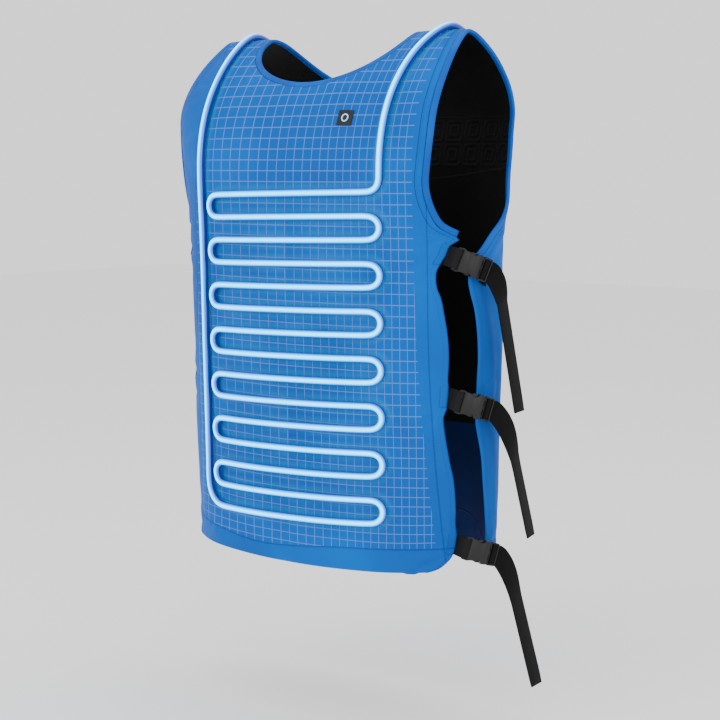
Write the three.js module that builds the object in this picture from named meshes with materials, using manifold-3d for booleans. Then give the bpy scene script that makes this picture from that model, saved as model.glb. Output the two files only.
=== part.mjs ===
// A sleeveless cooling vest, as worn: front and back panels joined over the shoulders, black lining, bound neck
// and armholes, one cooling tube that snakes over the front, and three buckled straps on each side.
// Millimetres, +Z up. The front faces -Y and +X is the wearer's left. The origin is on the shoulder line, over
// the middle of the neck hole.
import * as THREE from "three";
import { mergeVertices } from "three/addons/utils/BufferGeometryUtils.js";
import Module from "manifold-3d";

// Body of the vest
const bodyLength = 634; // shoulder line to hem, at the side edges
const hemDip = 8; // how much lower the hem hangs at the centre
const halfWidth = 220; // centre to side, at the waist
const frontDepth = 113; // shoulder line to the foremost line of the front
const backDepth = 85; // shoulder line to the rearmost line of the back, at the waist
const frontDomeHeight = 180; // height over which the chest rounds up to the shoulder line
const backDomeHeight = 125;
const frontDomeFullness = 1.45; // 2 is a round quarter circle, and less slopes off sooner
const backDomeFullness = 1.8;
const cornerRadius = 30; // lower corners of both panels

// Cloth
const shellWall = 2;
const liningWall = 1.2;
const layerGap = 0.3;
const seamGap = 0.3; // half of it on each side of a butted seam
const bindingWidth = 7.5;
const bindingProud = 0.5; // how far the binding stands over the cloth on both faces

// Neck hole, to the panels' cut edges
const neckHalfWidth = 119;
const neckDropFront = 66;
const neckDropBack = 76;
const neckSquareness = 1.9;

// Armholes
const shoulderHalfWidth = 178; // centre to the panels' cut edge at the shoulder line
const frontArmpit = 253; // level of the armhole's lowest point on the front panel
const backArmpit = 276;
const frontSideShort = 64; // from the front's side edge to the shoulder line's plane, round the girth
const backSideWrap = 22; // how far the back comes forward past that plane
const rightTurn = 40; // how much further back both panels' edges lie on the right, as the vest sits turned
const turnLevel = 110; // level by which that is reached

// Cooling tube
const tubeDiameter = 9;
const tubeClearance = 0.9;
const tubeSides = 8;
const runCount = 15;
const firstRunLevel = 192;
const runPitch = 27.6;
const runClimb = 6; // how much higher each run lies on the left than on the right
const leftReach = 134; // centre line of the vest to the bends on each side
const rightReach = 127;
const riserOffset = 17; // the long riser runs this far outside the bends
const leftCrossing = 160; // where the risers pass over the shoulder line
const rightCrossing = 145;
const backLoopLevel = 330;
const backLoopRadius = 45;

// Straps and buckles
const webbingWidth = 24;
const webbingThickness = 1.4;
const anchorLength = 6; // from the front panel's side edge to the socket's bar
const anchorGap = 0.9;
const socketLength = 32;
const socketThickness = 10;
const adjusterLength = 11;
const plugThickness = 4.6;
const buckleWall = 2.3; // beside the webbing
const barWidth = 3;
const slotWidth = 3.4;
const buckleClearance = 0.5;
const webbingClearance = 0.4;
const buckleStandOff = 9.5; // from the middle of the cloth to the middle of the buckle
const backStrapLength = 34; // sewn on the outside of the back panel
const strapSeat = 0.5; // between the back panel and that webbing
const tailLength = 183; // the longest left tail's free length
const rightTailLength = 40;
const tailStep = 14; // between stations
const tailTwist = -6; // degrees that a hanging tail's face looks behind the side
const tailSpread = 0.02; // how far a tail swings outward, as a share of its length
const tailSkew = 0.36; // how much of its bend a tail has where it leaves the adjuster

// One row for each strap. Level is a share of the body length, and tail and bend are shares of the tail length:
// the left tail's free length, and the length over which it turns. Fall is how many degrees the strap falls towards
// the back, and lean how many degrees the tail ends short of hanging straight down.
const straps = [
  { level: 0.413, fall: 21, tail: 0.95, lean: 4, bend: 0.38 },
  { level: 0.675, fall: 16, tail: 0.94, lean: 8, bend: 0.6 },
  { level: 0.951, fall: 16, tail: 1.0, lean: 11, bend: 0.66 },
];

// Control patch on the left chest
const patchWidth = 23;
const patchHeight = 22;
const patchThickness = 2.4;
const patchAcross = 84;
const patchLevel = 104;
const patchCorner = 3;

// Horizontal sections of the body, from the shoulder line down. Level is a share of the length, width of the
// half width, front and back of the depths. Square is the superellipse exponent.
const sections = [
  { level: 0.0, width: 0.94, front: 1.0, back: 1.08, square: 3.0 },
  { level: 0.05, width: 1.02, front: 1.0, back: 1.14, square: 3.2 },
  { level: 0.14, width: 1.08, front: 1.0, back: 1.17, square: 3.2 },
  { level: 0.2, width: 1.07, front: 1.0, back: 1.12, square: 3.0 },
  { level: 0.27, width: 1.05, front: 1.0, back: 1.07, square: 2.8 },
  { level: 0.4, width: 1.01, front: 1.0, back: 1.0, square: 2.6 },
  { level: 0.6, width: 1.01, front: 0.98, back: 0.97, square: 2.5 },
  { level: 0.8, width: 1.0, front: 0.96, back: 0.96, square: 2.4 },
  { level: 1.0, width: 0.98, front: 0.95, back: 0.94, square: 2.4 },
];

// Armhole edges: how far the cut edge lies from the centre line, as a share of the shoulder half width, at a level
// given as a share of the armpit's. Below the last row each edge sweeps out to the side edge.
const frontArmEdge = [
  { level: 0.0, reach: 1.0 },
  { level: 0.15, reach: 1.03 },
  { level: 0.36, reach: 1.04 },
  { level: 0.52, reach: 1.035 },
  { level: 0.7, reach: 1.01 },
];
const backArmEdge = [
  { level: 0.0, reach: 1.0 },
  { level: 0.14, reach: 1.06 },
  { level: 0.26, reach: 1.1 },
  { level: 0.4, reach: 1.11 },
];
const frontSweep = 2.3; // the higher, the squarer the armhole's lower corner
const backSweep = 1.4;

// Girth positions of the columns of facets, as shares of the way from the neck or centre to the edge
const columnShares = [0, 0.3, 0.56, 0.78, 0.92, 1];

const wasm = await Module();
wasm.setup();

const degrees = Math.PI / 180;
const up = new THREE.Vector3(0, 0, 1);
const mix = (a, b, share) => a + (b - a) * share;
const clamp01 = (x) => Math.min(1, Math.max(0, x));
const smoothStep = (x) => clamp01(x) ** 2 * (3 - 2 * clamp01(x));

// Smooth value of one column of a table at a level, rising or falling evenly between its rows.
function tableValue(rows, level, column) {
  let i = 0;
  while (i < rows.length - 2 && level > rows[i + 1].level) i += 1;
  const share = clamp01((level - rows[i].level) / (rows[i + 1].level - rows[i].level));
  const slope = (k) => {
    const before = rows[Math.max(k - 1, 0)];
    const after = rows[Math.min(k + 1, rows.length - 1)];
    return (after[column] - before[column]) / (after.level - before.level);
  };
  const span = rows[i + 1].level - rows[i].level;
  const s2 = share * share;
  const s3 = s2 * share;
  return (
    (2 * s3 - 3 * s2 + 1) * rows[i][column] +
    (s3 - 2 * s2 + share) * span * slope(i) +
    (3 * s2 - 2 * s3) * rows[i + 1][column] +
    (s3 - s2) * span * slope(i + 1)
  );
}

// The pattern's vertical coordinate runs down from the shoulder line. Over the dome it eases in from the shoulder,
// and below it is plain height.
const domes = {
  front: { height: frontDomeHeight, fullness: frontDomeFullness },
  back: { height: backDomeHeight, fullness: backDomeFullness },
};
function levelAt(side, down) {
  const { height, fullness } = domes[side];
  const run = height * fullness;
  return down < run ? height * (down / run) ** fullness : height + down - run;
}
function downAt(side, level) {
  const { height, fullness } = domes[side];
  const run = height * fullness;
  return level < height ? run * (level / height) ** (1 / fullness) : run + level - height;
}
function domeShare(side, down) {
  const { height, fullness } = domes[side];
  return Math.sin((clamp01(down / (height * fullness)) * Math.PI) / 2);
}

// The body's section at a height, as points from the centre line of one face, past the widest line and a little way
// on towards the other face.
const SECTION_STEPS = 72;
const SECTION_EXTRA = 30;
const sectionCache = new Map();
function sectionLine(side, down) {
  const key = side + down.toFixed(4);
  if (sectionCache.has(key)) return sectionCache.get(key);
  const level = levelAt(side, down);
  const share = level / bodyLength;
  const width = tableValue(sections, share, "width") * halfWidth;
  const square = tableValue(sections, share, "square");
  const reachOf = (face) => {
    const depth = face === "front" ? -frontDepth : backDepth;
    return depth * tableValue(sections, share, face) * domeShare(face, downAt(face, level));
  };
  const other = side === "front" ? "back" : "front";
  const points = [];
  let length = 0;
  for (let i = 0; i <= SECTION_STEPS + SECTION_EXTRA; i += 1) {
    const turn = ((i / SECTION_STEPS) * Math.PI) / 2;
    const x = width * Math.abs(Math.sin(turn)) ** (2 / square);
    const face = i <= SECTION_STEPS ? side : other;
    const y = reachOf(face) * Math.abs(Math.cos(turn)) ** (2 / square);
    if (i > 0) length += Math.hypot(x - points[i - 1].x, y - points[i - 1].y);
    points.push({ x, y, length });
  }
  sectionCache.set(key, points);
  return points;
}

// Where a section has gone a given length, or reached a given distance from the centre line.
function alongSection(points, column, value) {
  let i = 1;
  while (i < points.length - 1 && points[i][column] < value) i += 1;
  const a = points[i - 1];
  const b = points[i];
  const share = (value - a[column]) / (b[column] - a[column] || 1);
  return { x: mix(a.x, b.x, share), y: mix(a.y, b.y, share), length: mix(a.length, b.length, share) };
}
const girthLength = (side, down) => sectionLine(side, down)[SECTION_STEPS].length;
const girthAt = (side, down, reach) => alongSection(sectionLine(side, down), "x", reach).length;

// A point of the vest's outer face. Across is the distance round the girth from the centre line, positive on +X.
function bodyPoint(side, down, across) {
  const at = alongSection(sectionLine(side, down), "length", Math.abs(across));
  const level = levelAt(side, down);
  const dip = hemDip * (level / bodyLength) ** 3 * (1 - (at.x / halfWidth) ** 2);
  return new THREE.Vector3(Math.sign(across) * at.x, at.y, -level - dip);
}

// The same point with the outward normal of the face.
function bodyFrame(side, down, across) {
  const step = 1.5;
  const over = bodyPoint(side, down, across + step).sub(bodyPoint(side, down, across - step));
  const along = bodyPoint(side, down + step, across).sub(bodyPoint(side, Math.max(0, down - step), across));
  const normal = along.cross(over).normalize();
  if (side === "back") normal.negate();
  if (across === 0) normal.setX(0).normalize();
  return { point: bodyPoint(side, down, across), normal };
}

const sides = {
  front: {
    armpit: frontArmpit,
    short: frontSideShort,
    armEdge: frontArmEdge,
    sweep: frontSweep,
    neckDrop: neckDropFront,
    depth: frontDepth,
  },
  back: {
    armpit: backArmpit,
    short: -backSideWrap,
    armEdge: backArmEdge,
    sweep: backSweep,
    neckDrop: neckDropBack,
    depth: backDepth,
  },
};

// Girth position of a panel's outer edge on the left or right: the armhole above the armpit, and below it the side
// edge with its round corner.
function edgeAcross(side, down, hand) {
  const { armpit, short, armEdge, sweep } = sides[side];
  const level = levelAt(side, down);
  const turned = hand === "right" ? rightTurn * smoothStep(level / turnLevel) : 0;
  const shift = side === "front" ? turned : -turned;
  const sideEdge = girthLength(side, down) - short + shift;
  if (level < armpit) {
    const share = level / armpit;
    const turn = armEdge.at(-1).level;
    const reach = tableValue(armEdge, Math.min(share, turn), "reach") * shoulderHalfWidth;
    const straight = girthAt(side, down, reach) + shift;
    return share < turn ? straight : mix(straight, sideEdge, ((share - turn) / (1 - turn)) ** sweep);
  }
  const low = level - (bodyLength - cornerRadius);
  return low > 0 ? sideEdge - cornerRadius + Math.sqrt(Math.max(0, cornerRadius ** 2 - low ** 2)) : sideEdge;
}

// Rows of facets, as heights down the pattern, with the neck edge's girth position in each.
const NECK_ROW_SHARES = [0, 0.09, 0.2, 0.33, 0.48, 0.64, 0.82, 1];
const NECK_ROWS = NECK_ROW_SHARES.length - 1;
const ARM_ROW_SHARES = [0.2, 0.4, 0.58, 0.74, 0.86, 0.94, 1];
const BODY_ROW_SHARES = [0.14, 0.32, 0.5, 0.7, 0.88, 0.95, 0.985, 1];
function panelRows(side) {
  const { armpit, neckDrop, depth } = sides[side];
  // The panels' top rows are half a seam gap from the shoulder line.
  const seam = (domes[side].height * domes[side].fullness * seamGap) / (Math.PI * depth);
  const rows = NECK_ROW_SHARES.map((share) => {
    const turn = (share * Math.PI) / 2;
    const level = neckDrop * Math.sin(turn) ** (2 / neckSquareness);
    const down = Math.max(seam, downAt(side, level));
    const reach = neckHalfWidth * Math.max(0, Math.cos(turn)) ** (2 / neckSquareness);
    return { down, neck: share === 1 ? 0 : girthAt(side, down, reach) };
  });
  const neckDown = downAt(side, neckDrop);
  const armpitDown = downAt(side, armpit);
  const hemDown = downAt(side, bodyLength);
  for (const share of ARM_ROW_SHARES) rows.push({ down: mix(neckDown, armpitDown, share), neck: 0 });
  for (const share of BODY_ROW_SHARES) rows.push({ down: mix(armpitDown, hemDown, share), neck: 0 });
  return rows;
}

// Half a panel's frames, row by row, from the neck or centre out to the edge. The right half's are mirrored later.
function panelHalf(side, hand) {
  return panelRows(side).map(({ down, neck }, row) => {
    const edge = edgeAcross(side, down, hand);
    return columnShares.map((share) => {
      const frame = bodyFrame(side, down, mix(neck, edge, share));
      // The cut ends of both panels are upright where they meet at the shoulder.
      if (row === 0) frame.normal.setY(0).normalize();
      return frame;
    });
  });
}
const halves = {
  front: { left: panelHalf("front", "left"), right: panelHalf("front", "right") },
  back: { left: panelHalf("back", "left"), right: panelHalf("back", "right") },
};

const mirrored = (v) => new THREE.Vector3(-v.x, v.y, v.z);
const offsetPoint = ({ point, normal }, out) => point.clone().addScaledVector(normal, out);

// Closed geometry from loose corner points, three to a face.
function geometryFrom(corners) {
  const loose = new THREE.BufferGeometry().setFromPoints(corners);
  return mergeVertices(loose, 1e-4);
}

// A wall of cloth over a whole panel, between two offsets from the body's outer face.
function clothWall(side, outer, inner) {
  const corners = [];
  const turned = side === "back";
  for (const hand of ["left", "right"]) {
    const half = halves[side][hand];
    const flip = hand === "right";
    const layer = (out) =>
      half.map((row) => row.map((f) => (flip ? mirrored(offsetPoint(f, out)) : offsetPoint(f, out))));
    const face = layer(outer);
    const rear = layer(inner);
    const quad = (a, b, c, d) => {
      const ring = flip === turned ? [a, b, c, d] : [d, c, b, a];
      corners.push(ring[0], ring[1], ring[2], ring[0], ring[2], ring[3]);
    };
    const last = half.length - 1;
    const edge = columnShares.length - 1;
    for (let i = 0; i < last; i += 1) {
      for (let j = 0; j < edge; j += 1) {
        quad(face[i][j], face[i + 1][j], face[i + 1][j + 1], face[i][j + 1]);
        quad(rear[i][j], rear[i][j + 1], rear[i + 1][j + 1], rear[i + 1][j]);
      }
      quad(face[i][edge], face[i + 1][edge], rear[i + 1][edge], rear[i][edge]);
      if (i < NECK_ROWS) quad(face[i][0], rear[i][0], rear[i + 1][0], face[i + 1][0]);
    }
    for (let j = 0; j < edge; j += 1) {
      quad(face[0][j], face[0][j + 1], rear[0][j + 1], rear[0][j]);
      quad(face[last][j], rear[last][j], rear[last][j + 1], face[last][j + 1]);
    }
  }
  return geometryFrom(corners);
}

// Closed geometry through rings of equally many points, capped at both ends or joined into a loop.
function loft(rings, looped = false) {
  const corners = [];
  const count = rings[0].length;
  const spans = looped ? rings.length : rings.length - 1;
  for (let i = 0; i < spans; i += 1) {
    const a = rings[i];
    const b = rings[(i + 1) % rings.length];
    for (let k = 0; k < count; k += 1) {
      const m = (k + 1) % count;
      corners.push(a[k], a[m], b[m], a[k], b[m], b[k]);
    }
  }
  if (!looped) {
    const last = rings.at(-1);
    for (let k = 1; k < count - 1; k += 1) {
      corners.push(rings[0][0], rings[0][k + 1], rings[0][k]);
      corners.push(last[0], last[k], last[k + 1]);
    }
  }
  const geometry = geometryFrom(corners);
  if (signedVolume(geometry) < 0) geometry.index.array.reverse();
  return geometry;
}

function signedVolume(geometry) {
  const { array } = geometry.attributes.position;
  const corner = (i) => new THREE.Vector3().fromArray(array, geometry.index.array[i] * 3);
  let volume = 0;
  for (let i = 0; i < geometry.index.count; i += 3) {
    volume += corner(i).dot(corner(i + 1).cross(corner(i + 2))) / 6;
  }
  return volume;
}

// Folded binding along a panel's cut edge: stations are the edge's frames, and outwards points off the cloth.
const clothThickness = shellWall + layerGap + liningWall;
function binding(stations, looped, turn) {
  const near = seamGap;
  const far = seamGap + bindingWidth;
  const nose = 1.2;
  const top = bindingProud;
  const bottom = -clothThickness - bindingProud;
  const outline = [
    [near, top],
    [far - nose, top],
    [far, top - nose],
    [far, bottom + nose],
    [far - nose, bottom],
    [near, bottom],
  ];
  const rings = stations.map(({ point, normal }, i) => {
    const before = stations[looped ? (i + stations.length - 1) % stations.length : Math.max(i - 1, 0)];
    const after = stations[looped ? (i + 1) % stations.length : Math.min(i + 1, stations.length - 1)];
    const along = after.point.clone().sub(before.point).normalize();
    const off = along.cross(normal).normalize().multiplyScalar(turn);
    return outline.map(([out, rise]) => point.clone().addScaledVector(off, out).addScaledVector(normal, rise));
  });
  return loft(rings, looped);
}

const mirrorFrame = ({ point, normal }) => ({ point: mirrored(point), normal: mirrored(normal) });
const edgeColumn = columnShares.length - 1;

// Neck edge as one loop: front from the right shoulder to the left, back from the left shoulder to the right. The
// panels' two top rows nearly meet, so only the front's is used.
function neckStations() {
  const frontEdge = halves.front.left.slice(0, NECK_ROWS + 1).map((row) => row[0]);
  const backEdge = halves.back.left.slice(1, NECK_ROWS + 1).map((row) => row[0]);
  return [
    ...frontEdge.slice(0, -1).map(mirrorFrame),
    ...frontEdge.slice().reverse(),
    ...backEdge,
    ...backEdge.slice(0, -1).map(mirrorFrame).reverse(),
  ];
}

// Armhole edge, from the front armpit over the shoulder to the back armpit.
function armStations(hand) {
  const rowCount = NECK_ROWS + 1 + ARM_ROW_SHARES.length;
  const frontEdge = halves.front[hand].slice(0, rowCount).map((row) => row[edgeColumn]);
  const backEdge = halves.back[hand].slice(1, rowCount).map((row) => row[edgeColumn]);
  return [...frontEdge.reverse(), ...backEdge];
}

// Girth positions at which a run of the tube gets a station: the lines of the panel's columns that it crosses.
function runStations(side, level, reach) {
  const crossed = (hand) => {
    const edge = edgeAcross(side, downAt(side, level), hand);
    return columnShares.map((share) => share * edge).filter((across) => across < reach[hand] - 6);
  };
  const right = crossed("right").slice(1);
  return [...right.map((across) => -across).reverse(), ...crossed("left")];
}

// The tube's centre line, as positions on the front or back face. It starts over the right shoulder, snakes down
// the front, climbs the right side of the front again and closes through a plain loop on the back.
function tubeRoute() {
  const route = [];
  const add = (side, level, across) => {
    const climb = side === "front" ? (runClimb * across) / (leftReach + rightReach) : 0;
    route.push({ side, down: downAt(side, level - climb), across });
  };
  const radius = runPitch / 2;
  const bendStart = { left: leftReach - radius, right: rightReach - radius };
  const arcSteps = 4;
  const lastRun = firstRunLevel + (runCount - 1) * runPitch;
  const riser = rightReach + riserOffset;

  // Down the left chest from the shoulder and round into the first run.
  const chestRows = 7;
  for (let i = 0; i < chestRows; i += 1) {
    const share = i / chestRows;
    const down = downAt("front", firstRunLevel - runPitch / 2) * share;
    const across = mix(leftCrossing, leftReach, 1 - (1 - share) ** 3);
    route.push({ side: "front", down: Math.max(down, 0.01), across });
  }
  for (let i = 0; i <= arcSteps; i += 1) {
    const turn = (i / arcSteps) * 90 * degrees;
    add("front", firstRunLevel - radius * (1 - Math.sin(turn)), bendStart.left + radius * Math.cos(turn));
  }

  // Runs across the front, joined by half circles, each to the side where the run ends.
  for (let run = 0; run < runCount; run += 1) {
    const level = firstRunLevel + run * runPitch;
    const heading = run % 2 === 0 ? -1 : 1;
    const stations = runStations("front", level, bendStart);
    if (heading < 0) stations.reverse();
    const start = heading < 0 ? bendStart.right : bendStart.left;
    for (const across of stations) add("front", level, across);
    if (run < runCount - 1) {
      for (let i = 0; i <= arcSteps; i += 1) {
        const turn = (i / arcSteps) * 180 * degrees;
        add("front", level + radius * (1 - Math.cos(turn)), heading * (start + radius * Math.sin(turn)));
      }
    }
  }

  // Round the lower corner and up the long riser to the right shoulder.
  const cornerBend = runPitch / 2 + riserOffset;
  for (let i = 0; i <= arcSteps; i += 1) {
    const turn = (i / arcSteps) * 90 * degrees;
    add(
      "front",
      lastRun - cornerBend * (1 - Math.cos(turn)),
      -(riser - cornerBend + cornerBend * Math.sin(turn)),
    );
  }
  const riserRows = 12;
  const riserFoot = downAt("front", lastRun - cornerBend);
  const riserHead = downAt("front", firstRunLevel);
  for (let i = 1; i <= riserRows; i += 1) {
    route.push({ side: "front", down: mix(riserFoot, riserHead, i / riserRows), across: -riser });
  }
  for (let i = 1; i < chestRows; i += 1) {
    const share = i / chestRows;
    const across = -mix(riser, rightCrossing, share);
    route.push({ side: "front", down: riserHead * (1 - share), across });
  }

  // Over the right shoulder, down the back, across and up to the left shoulder.
  const footDown = downAt("back", backLoopLevel - backLoopRadius);
  const downs = panelRows("back").map((row) => row.down);
  const backRows = downs.filter((down, i) => i > 0 && down < footDown - 5);
  route.push({ side: "back", down: 0.01, across: -rightCrossing });
  for (const down of backRows) route.push({ side: "back", down, across: -rightCrossing });
  const loopStart = { left: leftCrossing - backLoopRadius, right: rightCrossing - backLoopRadius };
  for (let i = 0; i <= arcSteps; i += 1) {
    const turn = (i / arcSteps) * 90 * degrees;
    const level = backLoopLevel - backLoopRadius * (1 - Math.sin(turn));
    add("back", level, -(loopStart.right + backLoopRadius * Math.cos(turn)));
  }
  for (const across of runStations("back", backLoopLevel, loopStart)) add("back", backLoopLevel, across);
  for (let i = arcSteps; i >= 0; i -= 1) {
    const turn = (i / arcSteps) * 90 * degrees;
    const level = backLoopLevel - backLoopRadius * (1 - Math.sin(turn));
    add("back", level, loopStart.left + backLoopRadius * Math.cos(turn));
  }
  for (const down of backRows.reverse()) route.push({ side: "back", down, across: leftCrossing });
  return route;
}

function tubeGeometry() {
  const radius = tubeDiameter / 2;
  const stations = tubeRoute().map(({ side, down, across }) => {
    const frame = bodyFrame(side, down, across);
    return { point: offsetPoint(frame, radius + tubeClearance), normal: frame.normal };
  });
  const spaced = stations.filter((s, i) => i === 0 || s.point.distanceTo(stations[i - 1].point) > 1);
  const rings = spaced.map(({ point, normal }, i) => {
    const before = spaced[(i + spaced.length - 1) % spaced.length].point;
    const after = spaced[(i + 1) % spaced.length].point;
    const into = point.clone().sub(before).normalize();
    const out = after.clone().sub(point).normalize();
    const along = into.clone().add(out).normalize();
    const side = along.clone().cross(normal).normalize();
    const rise = side.clone().cross(along).normalize();
    // A mitred ring is longer across the corner, so that the tube keeps its width in the bends.
    const mitre = 1 / Math.max(0.7, along.dot(into));
    const across = out.clone().sub(into);
    const bendAxis = across.lengthSq() > 1e-6 ? across.normalize() : side;
    return Array.from({ length: tubeSides }, (_, k) => {
      const turn = ((k + 0.5) / tubeSides) * 360 * degrees;
      const spoke = side.clone().multiplyScalar(Math.cos(turn)).addScaledVector(rise, Math.sin(turn));
      spoke.addScaledVector(bendAxis, spoke.dot(bendAxis) * (mitre - 1));
      return point.clone().addScaledVector(spoke, radius);
    });
  });
  return loft(rings, true);
}

// Joins and cuts
function solidOf(geometry) {
  const bare = geometry.clone();
  bare.deleteAttribute("normal");
  bare.deleteAttribute("uv");
  const merged = mergeVertices(bare, 1e-4);
  const vertProperties = new Float32Array(merged.attributes.position.array);
  const triVerts = new Uint32Array(merged.index.array);
  return new wasm.Manifold(new wasm.Mesh({ numProp: 3, vertProperties, triVerts }));
}
function geometryOf(solid) {
  const { vertProperties, triVerts } = solid.getMesh();
  const geometry = new THREE.BufferGeometry();
  geometry.setAttribute("position", new THREE.BufferAttribute(new Float32Array(vertProperties), 3));
  geometry.setIndex(new THREE.BufferAttribute(new Uint32Array(triVerts), 1));
  return geometry;
}
const movedBox = (x, y, z, cx, cy, cz) => new THREE.BoxGeometry(x, y, z).translate(cx, cy, cz);

function plate(shape, thickness, bevel = 0, curveSegments = 3) {
  const depth = thickness - 2 * bevel;
  const options = { depth, bevelEnabled: bevel > 0, bevelSize: bevel, bevelThickness: bevel, bevelOffset: -bevel };
  const geometry = new THREE.ExtrudeGeometry(shape, { ...options, bevelSegments: 1, curveSegments, steps: 1 });
  return geometry.translate(0, 0, -depth / 2);
}

// Buckle pieces lie flat in their own frame: +X from the front strap to the back one, +Y across the webbing and +Z
// away from the body. X is 0 at the socket's strap end and Z is 0 in the middle of the buckle.
const buckleWidth = webbingWidth + 2 * buckleWall;
const notchCentre = socketLength * 0.6;
const notchRadius = 5;
const pocketStart = barWidth + slotWidth + 2.2;
const pocketWidth = buckleWidth - 4;
const plugStart = socketLength + buckleClearance;
const buckleEnd = plugStart + adjusterLength;
const slotLength = webbingWidth + 2 * webbingClearance;
const innerSlot = plugStart + 1.2 + slotWidth / 2;
const outerSlot = buckleEnd - 1.6 - slotWidth / 2;

function socketGeometry() {
  const half = buckleWidth / 2;
  const waist = half - 1.2;
  const outline = new THREE.Shape();
  outline.moveTo(0, -waist);
  outline.lineTo(barWidth + slotWidth, -half);
  outline.lineTo(notchCentre - notchRadius, -half);
  outline.absarc(notchCentre, -half, notchRadius, Math.PI, 0, true);
  outline.lineTo(socketLength, -half);
  outline.lineTo(socketLength, half);
  outline.lineTo(notchCentre + notchRadius, half);
  outline.absarc(notchCentre, half, notchRadius, 0, Math.PI, true);
  outline.lineTo(barWidth + slotWidth, half);
  outline.lineTo(0, waist);
  outline.closePath();
  const tall = 2 * socketThickness;
  const pocketHeight = plugThickness + 2 * buckleClearance;
  const slot = movedBox(slotWidth, slotLength, tall, barWidth + slotWidth / 2, 0, 0);
  const pocket = movedBox(socketLength, pocketWidth, pocketHeight, pocketStart + socketLength / 2, 0, 0);
  const shell = solidOf(plate(outline, socketThickness, 1.2));
  return geometryOf(shell.subtract(solidOf(slot)).subtract(solidOf(pocket)));
}

function plugGeometry() {
  const half = buckleWidth / 2 - 0.3;
  const arm = pocketWidth / 2 - buckleClearance;
  const tip = pocketStart + 1;
  const armWidth = 4;
  const hook = notchRadius * 0.7;
  const root = socketLength - 4;
  const outline = new THREE.Shape();
  outline.moveTo(plugStart, -half);
  outline.lineTo(buckleEnd - 1.2, -half);
  outline.lineTo(buckleEnd, -half + 1.2);
  outline.lineTo(buckleEnd, half - 1.2);
  outline.lineTo(buckleEnd - 1.2, half);
  outline.lineTo(plugStart, half);
  outline.lineTo(plugStart, arm);
  outline.lineTo(notchCentre + hook, arm);
  outline.lineTo(notchCentre, arm + 1.4);
  outline.lineTo(notchCentre - hook, arm);
  outline.lineTo(tip, arm - 3);
  outline.lineTo(tip + 2, arm - armWidth - 1);
  outline.lineTo(root, arm - armWidth);
  outline.lineTo(root, armWidth - arm);
  outline.lineTo(tip + 2, armWidth + 1 - arm);
  outline.lineTo(tip, 3 - arm);
  outline.lineTo(notchCentre - hook, -arm);
  outline.lineTo(notchCentre, -arm - 1.4);
  outline.lineTo(notchCentre + hook, -arm);
  outline.lineTo(plugStart, -arm);
  outline.closePath();
  const slots = [innerSlot, outerSlot].map((centre) =>
    solidOf(movedBox(slotWidth, slotLength, 2 * socketThickness, centre, 0, 0)),
  );
  return geometryOf(slots.reduce((kept, slot) => kept.subtract(slot), solidOf(plate(outline, plugThickness))));
}

// A flat ribbon of webbing through stations, each with its middle and the directions of its width and of its face.
function ribbon(stations) {
  const a = webbingWidth / 2;
  const b = webbingThickness / 2;
  const corners = [
    [-a, -b],
    [a, -b],
    [a, b],
    [-a, b],
  ];
  return loft(
    stations.map(({ point, across, face }) =>
      corners.map(([w, t]) => point.clone().addScaledVector(across, w).addScaledVector(face, t)),
    ),
  );
}

// The frame of one strap, drawn on the left. It starts at the front panel's side edge and follows the surface there.
function strapFrame(strap, hand) {
  const level = strap.level * bodyLength;
  const fall = strap.fall * degrees;
  const down = downAt("front", level);
  const edge = edgeAcross("front", down, hand);
  const { point, normal } = bodyFrame("front", down, edge);
  const outward = normal.clone().setZ(0).normalize();
  const round = up.clone().cross(outward);
  const along = round.multiplyScalar(Math.cos(fall)).addScaledVector(up, -Math.sin(fall));
  const across = outward.clone().cross(along);
  const start = point.clone().addScaledVector(normal, -clothThickness / 2);
  // The webbing starts clear of the panel's edge over its whole width.
  const steps = 6;
  let reach = 0;
  for (let i = -steps; i <= steps; i += 1) {
    const beside = downAt("front", Math.min(level + (i / steps) * (webbingWidth / 2 + 1), bodyLength));
    const rim = bodyPoint("front", beside, edgeAcross("front", beside, hand));
    reach = Math.max(reach, rim.sub(point).dot(along));
  }
  start.addScaledVector(along, reach);
  return { start, along, across, face: outward };
}

// Where a local point of a strap's frame lies in the vest's frame.
function placeIn(frame, x, z) {
  return frame.start.clone().addScaledVector(frame.along, x).addScaledVector(frame.face, z);
}

// Webbing along a path of distances along the strap and away from the body.
function pathStations(frame, path) {
  const points = path.map(([x, z]) => placeIn(frame, x, z));
  return points.map((point, i) => {
    const before = points[Math.max(i - 1, 0)];
    const after = points[Math.min(i + 1, points.length - 1)];
    const along = after.clone().sub(before).normalize();
    return { point, across: frame.across, face: along.clone().cross(frame.across).normalize() };
  });
}

// The loop of webbing that ties the socket's bar to the front panel: from the panel's edge over the bar, round it
// and back underneath.
function anchorGeometry(frame) {
  const lift = socketThickness / 2 + webbingClearance + webbingThickness / 2;
  const top = buckleStandOff + lift;
  const bottom = buckleStandOff - lift;
  const bar = anchorLength - anchorGap;
  const slot = anchorLength + barWidth + slotWidth / 2;
  const path = [
    [anchorGap, 0],
    [bar * 0.35, top * 0.45],
    [bar * 0.75, top * 0.93],
    [bar + barWidth * 0.5, top],
    [slot - 0.7, top - 0.3],
    [slot + 0.2, top - 1.6],
    [slot + 0.2, bottom + 1.6],
    [slot - 0.7, bottom + 0.3],
    [bar + barWidth * 0.5, bottom],
    [bar * 0.6, bottom],
  ];
  return ribbon(pathStations(frame, path));
}

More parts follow.
